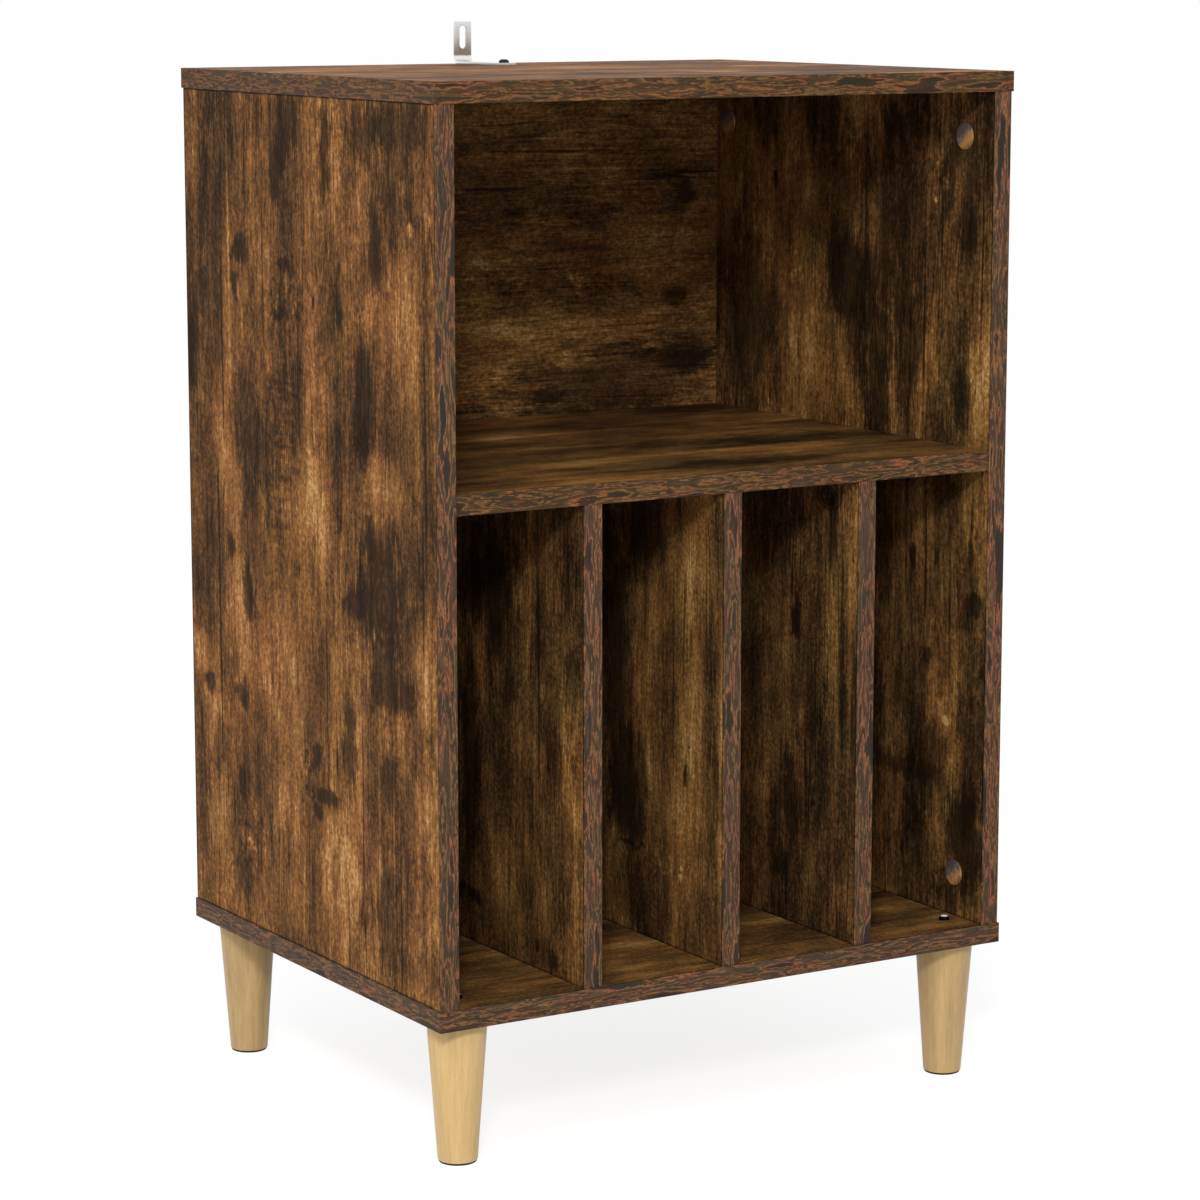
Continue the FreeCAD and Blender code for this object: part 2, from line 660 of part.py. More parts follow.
def leg_insert_master():
    """A threaded sleeve with its upper end at Z = 0."""
    inside, outside = "(leg_bolt_diameter / 2 + fit_clearance)", "(insert_diameter / 2)"
    return turned("leg_insert", rectangle(inside, outside, "-insert_length", "0"))


def side_cam_seats():
    """Each cam lock in a side panel, with the turn that faces it inwards and to its bolt."""
    seats = []
    for side in SIDES.values():
        inward = (-side, 0, 0)
        for end in BOTH:
            low = (signed(side, INNER_HALF), signed(end, CAM_Y), f"({BOTTOM_TOP} + cam_end_distance)")
            high = (*low[:2], f"({TOP_FOOT} - cam_end_distance)")
            seats.append((*low, aimed(DOWN, inward)))
            seats.append((*high, aimed(UP, inward)))
    return seats


def side_joint_seats(y):
    """Each place where a fitting crosses from the top or bottom panel into a side panel."""
    return [
        (signed(side, SIDE_MIDDLE), signed(end, y), level, aimed(RIGHTWARD, into))
        for side in SIDES.values()
        for end in BOTH
        for level, into in ((BOTTOM_TOP, UP), (TOP_FOOT, DOWN))
    ]


def shelf_joint_seats(y):
    """Each place where a fitting crosses from a side panel into the end of the shelf."""
    level = f"({SHELF_FOOT} + board_thickness / 2)"
    return [
        (signed(side, INNER_HALF), signed(end, y), level, aimed(UP, (-side, 0, 0)))
        for side in SIDES.values()
        for end in BOTH
    ]


def shelf_cam_seats():
    """Each cam lock in the underside of the shelf, entered from the nearer side panel."""
    return [
        (signed(side, SHELF_CAM_X), signed(end, CAM_Y), SHELF_FOOT, aimed((side, 0, 0), DOWN))
        for side in SIDES.values()
        for end in BOTH
    ]


def divider_seats(level, into):
    """Each fixing of the dividers at one of their two ends."""
    return [
        (divider_x(index), signed(end, DIVIDER_FIXING_Y), level, aimed(RIGHTWARD, into))
        for index in DIVIDERS.values()
        for end in BOTH
    ]


def leg_seats(level):
    """The leg axes at one level."""
    return [(signed(side, LEG_X), signed(end, LEG_Y), level, None) for side, end in CORNERS.values()]


def make_fittings():
    """The groups of like fittings that hold the boards and legs together."""
    cam_lock, cam_bolt, dowel = cam_lock_master(), cam_bolt_master(), dowel_master()
    leg_bolt = pan_head_screw("leg_bolt", "leg_bolt_diameter", "(board_thickness + leg_bolt_grip)",
                              "leg_bolt_head_diameter", "leg_bolt_head_height",
                              "leg_bolt_head_rounding")
    return [
        repeated("side_cam_locks", cam_lock, side_cam_seats()),
        repeated("side_cam_bolts", cam_bolt, side_joint_seats(CAM_Y)),
        repeated("side_dowels", dowel, side_joint_seats(DOWEL_Y)),
        repeated("cam_cover_caps", cover_cap_master(), side_cam_seats()),
        repeated("shelf_cam_locks", cam_lock, shelf_cam_seats()),
        repeated("shelf_cam_bolts", cam_bolt, shelf_joint_seats(CAM_Y)),
        repeated("shelf_dowels", dowel, shelf_joint_seats(DOWEL_Y)),
        repeated("divider_dowels", dowel, divider_seats(SHELF_FOOT, DOWN)),
        repeated("divider_screws", divider_screw_master(), divider_seats(BOTTOM_FOOT, UP)),
        repeated("leg_threaded_inserts", leg_insert_master(), leg_seats(BOTTOM_FOOT)),
        repeated("leg_bolts", leg_bolt, leg_seats(BOTTOM_TOP)),
    ]


# Wall bracket
def make_bracket():
    """The steel strap that ties the cabinet to a wall: flat on the top panel, then bent upright."""
    body = new_body("anti_tip_bracket", y="(overall_depth / 2)", z=TOP_TOP)
    half = "(strap_width / 2)"
    outline = sketch_on(body, "anti_tip_bracket_outline", "x", signed(-1, half))
    draw_outline(outline, [
        ("-strap_reach", "0"), ("0", "0"), ("0", "strap_height"),
        ("-strap_thickness", "strap_height"), ("-strap_thickness", "strap_thickness"),
        ("-strap_reach", "strap_thickness"),
    ])
    pad(body, outline, "strap_width")

    def bend_at(depth):
        def chosen(edge):
            box = edge.BoundBox
            return (box.XLength > TOLERANCE and box.YLength < TOLERANCE
                    and abs(box.YMin + depth) < TOLERANCE and abs(box.ZMin - depth) < TOLERANCE)
        return chosen

    def corner(edge):
        box = edge.BoundBox
        upper = box.ZMin > value("strap_height") - TOLERANCE and box.YLength > TOLERANCE
        forward = box.YMax < TOLERANCE - value("strap_reach") and box.ZLength > TOLERANCE
        return box.XLength < TOLERANCE and (upper or forward)

    round_off(body, "strap_bend_radius", bend_at(value("strap_thickness")))
    round_off(body, "(strap_bend_radius + strap_thickness)", bend_at(0))
    round_off(body, "strap_corner_radius", corner)
    radius = "(strap_slot_width / 2)"
    top_centre = f"(strap_height - strap_slot_inset - {radius})"
    low_centre = f"(strap_height - strap_slot_inset - strap_slot_length + {radius})"
    past = "(strap_thickness + cut_overrun)"
    for name, height in (("upper", top_centre), ("lower", low_centre)):
        bore(body, f"anti_tip_bracket_slot_{name}_end", "y", "cut_overrun", -1, [("0", height)],
             radius, f"({past} + cut_overrun)")
    mill(body, "anti_tip_bracket_slot", "y", "cut_overrun", -1,
         rectangle(signed(-1, radius), radius, low_centre, top_centre), f"({past} + cut_overrun)")
    bore(body, "anti_tip_bracket_hole", "z", "-cut_overrun", 1,
         [("0", "-(strap_reach - strap_hole_inset)")], "(strap_screw_diameter / 2 + fit_clearance)",
         f"({past} + cut_overrun)")
    return body


def make_bracket_screw():
    """The screw that holds the bracket to the top panel."""
    body = pan_head_screw("bracket_screw", "strap_screw_diameter", "strap_screw_length",
                          "strap_screw_head_diameter", "strap_screw_head_height",
                          "strap_screw_head_rounding")
    place(body, "0", STRAP_SCREW_Y, f"({TOP_TOP} + strap_thickness)")
    return body


def make_cabinet():
    """Every node of the cabinet."""
    nodes = [make_top_panel(), make_bottom_panel()]
    nodes += [make_side_panel(name, side) for name, side in SIDES.items()]
    nodes += [make_middle_shelf()]
    nodes += [make_divider(name, index) for name, index in DIVIDERS.items()]
    nodes += [make_back_panel()]
    nodes += [panel_bands("top_panel", TOP_FOOT), panel_bands("bottom_panel", BOTTOM_FOOT)]
    nodes += [side_bands(name, side) for name, side in SIDES.items()]
    nodes += [band("middle_shelf_edge_band", INNER_WIDTH, signed(-1, INNER_HALF),
                   signed(-1, INNER_FRONT), f"({SHELF_FOOT} + board_thickness / 2)",
                   FRONTWARD, RIGHTWARD)]
    nodes += [
        band(name + "_divider_edge_band", "lower_clear_height", divider_x(index),
             signed(-1, INNER_FRONT), BOTTOM_TOP, FRONTWARD, UP)
        for name, index in DIVIDERS.items()
    ]
    for name, (side, end) in CORNERS.items():
        nodes += [make_leg(name, side, end), make_pad(name, side, end)]
    nodes += make_fittings()
    nodes += [make_bracket(), make_bracket_screw()]
    return nodes


def check(nodes):
    """Stop if anything failed, a cut took nothing away or a node's shape isn't sound."""
    for thing in doc.Objects:
        if {"Invalid", "Error"} & set(thing.State):
            raise RuntimeError(f"{thing.Label} failed: {thing.State}")
        if thing.TypeId == "PartDesign::Pocket":
            before, after = thing.BaseFeature.Shape.Volume, thing.Shape.Volume
            if not after < before:
                raise RuntimeError(f"{thing.Label} cut nothing")
    for node in nodes:
        if node.Shape.isNull() or not node.Shape.isValid() or not node.Shape.Solids:
            raise RuntimeError(f"{node.Label} has no sound shape")


cabinet = make_cabinet()
doc.recompute()
check(cabinet)
for node in cabinet:
    node.Shape.exportStep(f"parts/{node.Label}.step")
    print(f"{node.Label}: {len(node.Shape.Solids)} solid(s), {node.Shape.Volume:.0f} mm3")
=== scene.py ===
"""Looks of a record cabinet that carries a turntable.

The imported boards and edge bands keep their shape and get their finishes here. The turned legs, the
pads and the fittings are grown by Geometry Nodes, and the wall bracket gets softened edges.
Finishes and fittings are sized in millimetres, the meshes are in metres.
"""

import logging
import math
from dataclasses import dataclass, field, replace
from enum import Enum
from typing import Dict, List, Mapping, Optional, Sequence, Tuple, Union

import bmesh
import bpy
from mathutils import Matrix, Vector


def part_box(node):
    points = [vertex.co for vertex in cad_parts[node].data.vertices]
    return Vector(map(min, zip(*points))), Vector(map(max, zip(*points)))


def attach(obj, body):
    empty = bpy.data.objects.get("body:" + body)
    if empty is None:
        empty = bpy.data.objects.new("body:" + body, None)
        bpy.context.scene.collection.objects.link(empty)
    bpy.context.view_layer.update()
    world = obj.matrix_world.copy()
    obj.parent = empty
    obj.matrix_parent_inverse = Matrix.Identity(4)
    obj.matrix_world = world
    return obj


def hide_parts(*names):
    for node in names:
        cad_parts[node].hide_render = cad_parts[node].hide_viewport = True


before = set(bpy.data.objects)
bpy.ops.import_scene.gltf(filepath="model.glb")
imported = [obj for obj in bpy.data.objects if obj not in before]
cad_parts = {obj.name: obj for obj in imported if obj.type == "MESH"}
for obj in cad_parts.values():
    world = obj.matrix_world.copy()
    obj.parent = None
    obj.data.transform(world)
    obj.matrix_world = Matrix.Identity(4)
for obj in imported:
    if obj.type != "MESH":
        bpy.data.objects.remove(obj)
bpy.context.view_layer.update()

LOG = logging.getLogger("record_cabinet")
BODY = "root"
MILLIMETRE = 0.001
PER_METRE = 1000.0

# Places and sizes that several pieces share, in millimetres
MIDDLE = (0.0, 0.0, 436.0)
BOARD = 15.0
INNER_SIDE = 229.0
UNDER_TOP = 752.0
UNDER_SHELF = 470.0
UNDER_BOTTOM = 105.0
ON_BOTTOM = UNDER_BOTTOM + BOARD
DIVIDER_PITCH = 118.25
LEG_ACROSS = 215.0
LEG_DEEP = 167.5
CAM_DEEP = 160.5
CAM_LOW = 154.0
CAM_HIGH = 718.0

# The size of a noise's features through a board, before the print of its two faces is drawn apart
THROUGH = 300.0

# Points nearer to each other than this, in metres, become one
WELD = 1e-6

Operand = Union["Signal", float, int, Sequence[float]]
Key = Union[str, int]
Stops = Sequence[Tuple[float, Tuple[int, int, int]]]


# Node trees
class Signal:
    """One output in a node tree. Its arithmetic adds nodes to that tree."""

    def __init__(self, sheet: "NodeSheet", socket: bpy.types.NodeSocket) -> None:
        """Hold an output and the sheet that it lies on."""
        self.sheet = sheet
        self.socket = socket

    def __add__(self, other: Operand) -> "Signal":
        """The sum."""
        return self.sheet.combine("ADD", self, other)

    def __sub__(self, other: Operand) -> "Signal":
        """The difference."""
        return self.sheet.combine("SUBTRACT", self, other)

    def __rsub__(self, other: Operand) -> "Signal":
        """The difference, taken from the other value."""
        return self.sheet.combine("SUBTRACT", other, self)

    def __mul__(self, other: Operand) -> "Signal":
        """The product."""
        return self.sheet.combine("MULTIPLY", self, other)

    def __truediv__(self, other: Operand) -> "Signal":
        """The quotient."""
        return self.sheet.combine("DIVIDE", self, other)

    @property
    def wide(self) -> bool:
        """Whether this is a vector."""
        return self.socket.type == "VECTOR"


class NodeSheet:
    """Adds nodes to a tree and links them, for finishes and for grown shapes alike."""

    VALUE_OUTPUTS = ("LENGTH", "DOT_PRODUCT", "DISTANCE")

    def __init__(self, tree: bpy.types.NodeTree) -> None:
        """Hold the tree."""
        self.tree = tree

    def feed(self, socket: bpy.types.NodeSocket, operand: Operand) -> None:
        """Link an output to an input, or write a plain value on it.

        Args:
            socket: The input.
            operand: The signal, number or vector for it.
        """
        if isinstance(operand, Signal):
            self.tree.links.new(operand.socket, socket)
        elif socket.type == "VECTOR" and isinstance(operand, (int, float)):
            socket.default_value = (operand,) * 3
        elif socket.type == "RGBA" and len(operand) == 3:
            socket.default_value = (*operand, 1.0)
        else:
            socket.default_value = operand

    def place(self, kind: str, inputs: Mapping[Key, Operand], output: Key = 0,
              **settings: object) -> Signal:
        """Put a node on the sheet.

        Args:
            kind: The node's type.
            inputs: Its inputs by name or number.
            output: The output to go on with, by name or by number among the shown ones.
            settings: Its other properties.

        Returns:
            The chosen output.
        """
        node = self.tree.nodes.new(kind)
        for name, value in settings.items():
            setattr(node, name, value)
        for key, operand in inputs.items():
            if isinstance(key, str):
                socket = next(s for s in node.inputs if s.name == key and s.enabled)
            else:
                socket = node.inputs[key]
            self.feed(socket, operand)
        shown = [s for s in node.outputs if s.enabled]
        if isinstance(output, int):
            return Signal(self, shown[output])
        return Signal(self, next(s for s in shown if s.name == output))

    def combine(self, operation: str, *operands: Operand) -> Signal:
        """Put a Math node on the sheet, or Vector Math where an operand is a vector.

        Args:
            operation: The node's operation.
            operands: Its inputs in order.

        Returns:
            The result.
        """
        wide = any(o.wide if isinstance(o, Signal) else isinstance(o, tuple) for o in operands)
        kind = "ShaderNodeVectorMath" if wide else "ShaderNodeMath"
        output = "Value" if operation in self.VALUE_OUTPUTS else 0
        return self.place(kind, dict(enumerate(operands)), output, operation=operation)

    def parts(self, vector: Signal) -> List[Signal]:
        """The three parts of a vector."""
        first = self.place("ShaderNodeSeparateXYZ", {0: vector})
        return [Signal(self, socket) for socket in first.socket.node.outputs]

    def vector(self, x: Operand, y: Operand, z: Operand) -> Signal:
        """A vector of three parts."""
        return self.place("ShaderNodeCombineXYZ", {0: x, 1: y, 2: z})

    def ease(self, value: Signal, start: float, end: float, low: Operand = 0.0,
             high: Operand = 1.0) -> Signal:
        """A smooth step from one value to another.

        Args:
            value: What is measured.
            start: The measure at which the step begins.
            end: The measure at which it ends.
            low: The result before the step.
            high: The result after it.

        Returns:
            The stepped value.
        """
        inputs = {"Value": value, "From Min": start, "From Max": end, "To Min": low, "To Max": high}
        return self.place("ShaderNodeMapRange", inputs, interpolation_type="SMOOTHSTEP")


def linear(colour: Tuple[int, int, int]) -> Tuple[float, float, float]:
    """A colour in eight-bit display values as the linear values that shaders take.

    Args:
        colour: Red, green and blue from 0 to 255.

    Returns:
        The same colour in linear light.
    """
    shares = (part / 255 for part in colour)
    return tuple(s / 12.92 if s <= 0.04045 else ((s + 0.055) / 1.055) ** 2.4 for s in shares)


class FinishSheet(NodeSheet):
    """The node tree of one finish."""

    def __init__(self, name: str) -> None:
        """Start a material with an empty tree.

        Args:
            name: The material's name.
        """
        self.material = bpy.data.materials.new(name)
        self.material.use_nodes = True
        super().__init__(self.material.node_tree)
        self.tree.nodes.clear()

    def spot(self) -> Signal:
        """The place on the piece, in millimetres."""
        return self.place("ShaderNodeTexCoord", {}, "Object") * PER_METRE

    def noise(self, spot: Signal, grain: Tuple[float, float, float], detail: float = 2.0,
              roughness: float = 0.5) -> Signal:
        """Soft noise about zero, mostly within a quarter either way.

        Args:
            spot: Where it is read, in millimetres.
            grain: The size of its features along each axis, in millimetres.
            detail: How many finer layers it has.
            roughness: How strong these are.

        Returns:
            The noise.
        """
        scaled = spot * tuple(1 / size for size in grain)
        inputs = {"Vector": scaled, "Scale": 1.0, "Detail": detail, "Roughness": roughness}
        return self.place("ShaderNodeTexNoise", inputs) - 0.5

    def drift(self, spot: Signal, grain: Tuple[float, float, float], reach: Tuple[float, float, float],
              detail: float = 1.0) -> Signal:
        """A place pushed about by noise, so that patterns wander.

        Args:
            spot: The place, in millimetres.
            grain: The size of the wandering along each axis.
            reach: How far it pushes along each axis, from end to end.
            detail: How many finer layers it has.

        Returns:
            The pushed place.
        """
        scaled = spot * tuple(1 / size for size in grain)
        push = self.place("ShaderNodeTexNoise", {"Vector": scaled, "Scale": 1.0, "Detail": detail}, 1)
        centred = self.combine("SUBTRACT", push, (0.5, 0.5, 0.5))
        return self.combine("MULTIPLY_ADD", centred, reach, spot)

    def ramp(self, value: Signal, stops: Stops) -> Signal:
        """Colours along a value.

        Args:
            value: A value from 0 to 1.
            stops: Each stop's place and its display colour.

        Returns:
            The colour.
        """
        colour = self.place("ShaderNodeValToRGB", {0: value})
        elements = colour.socket.node.color_ramp.elements
        while len(elements) < len(stops):
            elements.new(1.0)
        for element, (position, shade) in zip(elements, stops):
            element.position = position
            element.color = (*linear(shade), 1.0)
        return colour

    def blend(self, share: Operand, first: Operand, second: Operand, how: str = "MIX") -> Signal:
        """A mix of two colours.

        Args:
            share: How much of the second there is.
            first: The colour at 0.
            second: The colour at 1.
            how: The blend mode.

        Returns:
            The mixed colour.
        """
        inputs = {"Factor": share, "A": first, "B": second}
        return self.place("ShaderNodeMix", inputs, data_type="RGBA", blend_type=how)

    def coat(self, colour: Operand, roughness: Operand, relief: Signal, depth: float,
             **sockets: Operand) -> bpy.types.Material:
        """Close the finish with its shader.

        Args:
            colour: The base colour.
            roughness: The roughness.
            relief: The height of the surface, about 0 to 1.
            depth: How deep that relief is, in millimetres.
            sockets: What the shader's other inputs take, with _ for a space.

        Returns:
            The material.
        """
        inputs = {"Strength": 1.0, "Distance": depth * MILLIMETRE, "Height": relief}
        bump = self.place("ShaderNodeBump", inputs)
        shader = {"Base Color": colour, "Roughness": roughness, "Normal": bump}
        shader.update({name.replace("_", " "): value for name, value in sockets.items()})
        surface = self.place("ShaderNodeBsdfPrincipled", shader)
        self.place_output(surface)
        return self.material

    def place_output(self, surface: Signal) -> None:
        """Link a shader to the material's output."""
        node = self.tree.nodes.new("ShaderNodeOutputMaterial")
        self.tree.links.new(surface.socket, node.inputs["Surface"])


# Finishes
class GrainRun(Enum):
    """How a board's decor lies: the axes across the grain, along it and through the board."""

    STANDING = (1, 2, 0)
    BACK = (2, 0, 1)
    LEVEL = (1, 0, 2)


class Kind(Enum):
    """What a mark in the decor is."""

    STAIN = "an even darker or paler patch"
    BURR = "a patch of dark pits and pale flecks"
    LADDER = "a patch of dashes across the grain"
    RINGS = "growth rings about a knot"
    LINE = "a thin line along the grain"


@dataclass(frozen=True)
class Mark:
    """A mark in the decor, in millimetres on its face. Its tone darkens or lightens it."""

    across: float
    along: float
    half_across: float
    half_along: float
    tone: float
    kind: Kind = Kind.STAIN


@dataclass(frozen=True)
class Layer:
    """A layer of noise in the decor: the size of its features in millimetres, and its finer layers."""

    across: float
    along: float
    detail: float = 2.0
    roughness: float = 0.5

    def read(self, sheet: FinishSheet, spot: Signal) -> Signal:
        """The layer's noise at a place on the board."""
        return sheet.noise(spot, (self.across, self.along, THROUGH), self.detail, self.roughness)


@dataclass(frozen=True)
class SmokedOak:
    """The decor of one board: planks of old smoked oak, with patches placed by face.

    The seed tells which stretch of the print the board has, tone how pale it is, and fine and large how
    strong the small and the large pattern are. The marks go by where their face lies through the board.
    """

    name: str
    run: GrainRun
    seed: float
    tone: float = 0.53
    gloss: float = 0.5
    sheen: float = 0.02
    cast: Stops = ((0.0, (252, 246, 232)), (1.0, (244, 251, 236)))
    fine: float = 1.0
    large: float = 1.0
    marks: Mapping[float, Sequence[Mark]] = field(default_factory=dict)

    TONES = (
        (0.0, (31, 23, 15)),
        (0.17, (47, 35, 23)),
        (0.32, (67, 48, 30)),
        (0.48, (95, 68, 43)),
        (0.63, (127, 89, 53)),
        (0.78, (159, 114, 67)),
        (0.9, (186, 142, 90)),
        (1.0, (208, 170, 120)),
    )
    BROAD = Layer(40.0, 160.0, 1.5)
    MOTTLE = Layer(17.0, 40.0, 7.0, 0.74)
    CRACKLE = Layer(2.6, 3.2, 3.0, 0.6)
    SEAM = Layer(10.0, 340.0, 4.0, 0.6)
    PLANK = Layer(5.5, 260.0, 4.0, 0.62)
    STREAK = Layer(1.6, 24.0, 2.0, 0.6)
    FIBRE = Layer(0.8, 5.0, 1.0)
    SAW = Layer(11.0, 1.9)
    SPECKLE = Layer(1.5, 8.0, 2.0, 0.6)
    SPLIT = Layer(13.0, 330.0)
    SPLIT_PLACES = Layer(30.0, 95.0)
    HUE = Layer(30.0, 80.0)
    KNOBS = Layer(8.0, 10.0, 5.0, 0.66)
    RUNGS = Layer(38.0, 6.0, 6.0, 0.7)

    # How the print moves on from board to board, and how far apart it draws a board's two faces
    SEED_STEP = (131.0, 57.0, 0.0)
    FACE_SPREAD = (1.0, 1.0, 40.0)

    # The pitch of the growth lines in millimetres, how far the wave of a knot's rings turns from its
    # middle to its rim, half a mark's depth in millimetres, and how far marks darken at most
    GROWTH_PITCH = 3.6
    RING_TURN = 24.0
    FACE_DEPTH = 7.0
    DEEPEST = 0.37

    def board_spot(self, sheet: FinishSheet) -> Signal:
        """The place on the board as across the grain, along it and through the board."""
        parts = sheet.parts(sheet.spot())
        return sheet.vector(*(parts[axis] for axis in self.run.value))

    def rim(self, sheet: FinishSheet, spot: Signal, face: float, mark: Mark) -> Signal:
        """How far a place is from the middle of a mark, 1 at its rim.

        Args:
            sheet: The finish's node sheet.
            spot: The place on the board.
            face: Where the mark's face lies through the board.
            mark: The mark.

        Returns:
            The distance as a share of the mark's size.
        """
        sizes = (mark.half_across, mark.half_along, self.FACE_DEPTH)
        middle = (mark.across, mark.along, face)
        scale = tuple(1 / size for size in sizes)
        shift = tuple(-at / size for at, size in zip(middle, sizes))
        return sheet.combine("LENGTH", sheet.combine("MULTIPLY_ADD", spot, scale, shift))

    def marked(self, sheet: FinishSheet, spot: Signal, fray: Signal) -> Signal:
        """How much the marks lighten or darken each place.

        Args:
            sheet: The finish's node sheet.
            spot: The place on the board.
            fray: What makes the rims of the marks uneven.

        Returns:
            The change in tone, no darker than the deepest stain.
        """
        ragged = sheet.drift(spot, (12.0, 22.0, THROUGH), (12.0, 22.0, 0.0), 5.0)
        loose = sheet.drift(spot, (9.0, 9.0, THROUGH), (4.0, 4.0, 0.0), 2.0)
        straight = sheet.drift(spot, (24.0, 110.0, THROUGH), (3.0, 0.0, 0.0))
        knobs = self.KNOBS.read(sheet, loose)
        rungs = self.RUNGS.read(sheet, loose)
        pits = sheet.ease(knobs, -0.17, -0.02, -1.2, 0.0)
        filling: Dict[Kind, Operand] = {
            Kind.STAIN: 1.0,
            Kind.LINE: 1.0,
            Kind.BURR: pits + sheet.ease(knobs, 0.04, 0.2, 0.0, 1.2),
            Kind.LADDER: sheet.ease(rungs, -0.15, 0.15, -0.5, 1.3),
        }
        shade: Operand = 0.0
        rings: Operand = 0.0
        for face, marks in self.marks.items():
            for mark in marks:
                if mark.kind is Kind.RINGS:
                    rim = self.rim(sheet, spot, face, mark) + fray * 0.2
                    wave = sheet.combine("SINE", rim * self.RING_TURN)
                    rings = wave * sheet.ease(rim, 0.6, 1.15, mark.tone, 0.0) + rings
                    continue
                base = straight if mark.kind is Kind.LINE else ragged
                rim = self.rim(sheet, base, face, mark) + fray
                shade = sheet.ease(rim, 0.45, 1.2, mark.tone, 0.0) * filling[mark.kind] + shade
        return sheet.combine("MAXIMUM", shade, -self.DEEPEST) + rings

    def joint(self, sheet: FinishSheet, spot: Signal) -> Signal:
        """The dark line where a board meets its neighbours, partly a dark joint and partly painted contact
        shadow.

        Args:
            sheet: The finish's node sheet.
            spot: The place on the board.

        Returns:
            The change in tone, 0 away from the board's ends.
        """
        low, high = (
            Vector([corner[axis] for axis in self.run.value]) * PER_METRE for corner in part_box(self.name)
        )
        inside = sheet.combine("ABSOLUTE", spot - tuple((low + high) / 2))
        across, along, _ = sheet.parts(tuple((high - low) / 2) - inside)
        return sheet.ease(sheet.combine("MINIMUM", across, along), 0.3, 1.6, -0.3, 0.0)

    def material(self) -> bpy.types.Material:
        """Build the decor. Each factor below is how strongly a layer darkens or lightens it.

        Returns:
            The material.
        """
        sheet = FinishSheet(self.name)
        spot = self.board_spot(sheet)
        start = tuple(self.seed * step for step in self.SEED_STEP)
        seeded = sheet.combine("MULTIPLY_ADD", spot, self.FACE_SPREAD, start)
        wavy = sheet.drift(seeded, (70.0, 240.0, THROUGH), (16.0, 30.0, 0.0))
        uneven = sheet.drift(wavy, (10.0, 36.0, THROUGH), (2.4, 6.0, 0.0))
        broad = self.BROAD.read(sheet, wavy)
        mottle = self.MOTTLE.read(sheet, uneven)
        crackle = self.CRACKLE.read(sheet, uneven)
        seam = sheet.ease(self.SEAM.read(sheet, uneven), -0.012, 0.012, -1.0, 1.0)
        plank = self.PLANK.read(sheet, uneven)
        streak = self.STREAK.read(sheet, uneven)
        fibre = self.FIBRE.read(sheet, seeded)
        saw = self.SAW.read(sheet, uneven)
        worn = sheet.ease(mottle, -0.09, 0.09)
        speckle = self.SPECKLE.read(sheet, uneven)
        pores = sheet.ease(speckle, 0.13, 0.2)
        flecks = sheet.ease(speckle, -0.2, -0.13, 1.0, 0.0)
        waves = sheet.parts(uneven)[0] * (math.tau / self.GROWTH_PITCH) + broad * 40.0
        growth = sheet.combine("SINE", waves) * sheet.ease(plank, -0.02, 0.12)
        split_line = sheet.combine("ABSOLUTE", self.SPLIT.read(sheet, wavy))
        split_here = sheet.ease(self.SPLIT_PLACES.read(sheet, seeded), 0.0, 0.1)
        split = sheet.ease(split_line, 0.005, 0.022, 1.0, 0.0) * split_here
        grain = broad * self.large + worn * 0.1 + mottle * 0.38 + plank * 0.36 + seam * 0.022
        detail = streak * 0.55 + crackle * 0.78 + fibre * 0.28 + growth * 0.03 + saw * worn * 0.12
        detail = detail - split * 0.22 - pores * 0.17 + flecks * 0.1
        grain = detail * self.fine + grain - 0.05
        shade = self.marked(sheet, spot, mottle * 1.3 + streak * 0.6)
        calm = sheet.ease(shade, -0.36, -0.04, 0.55, 1.0)
        # The joint term darkens the rims of each face: partly a dark joint, partly painted contact shadow
        tone = grain * calm + shade + self.joint(sheet, spot) + self.tone
        colour = sheet.ramp(tone, self.TONES)
        hue = self.HUE.read(sheet, wavy)
        tint = sheet.ramp(sheet.ease(hue, -0.16, 0.16), self.cast)
        colour = sheet.blend(1.0, colour, tint, "MULTIPLY")
        roughness = mottle * -0.25 + streak * 0.2 + self.gloss
        relief = streak * 0.7 + fibre * 0.8 - split * 0.5 + 0.5
        return sheet.coat(colour, roughness, relief, 0.12, Specular_IOR_Level=self.sheen)


class BandRun(Enum):
    """Which way an edge band lies."""

    LEVEL = "level"
    UPRIGHT = "upright"


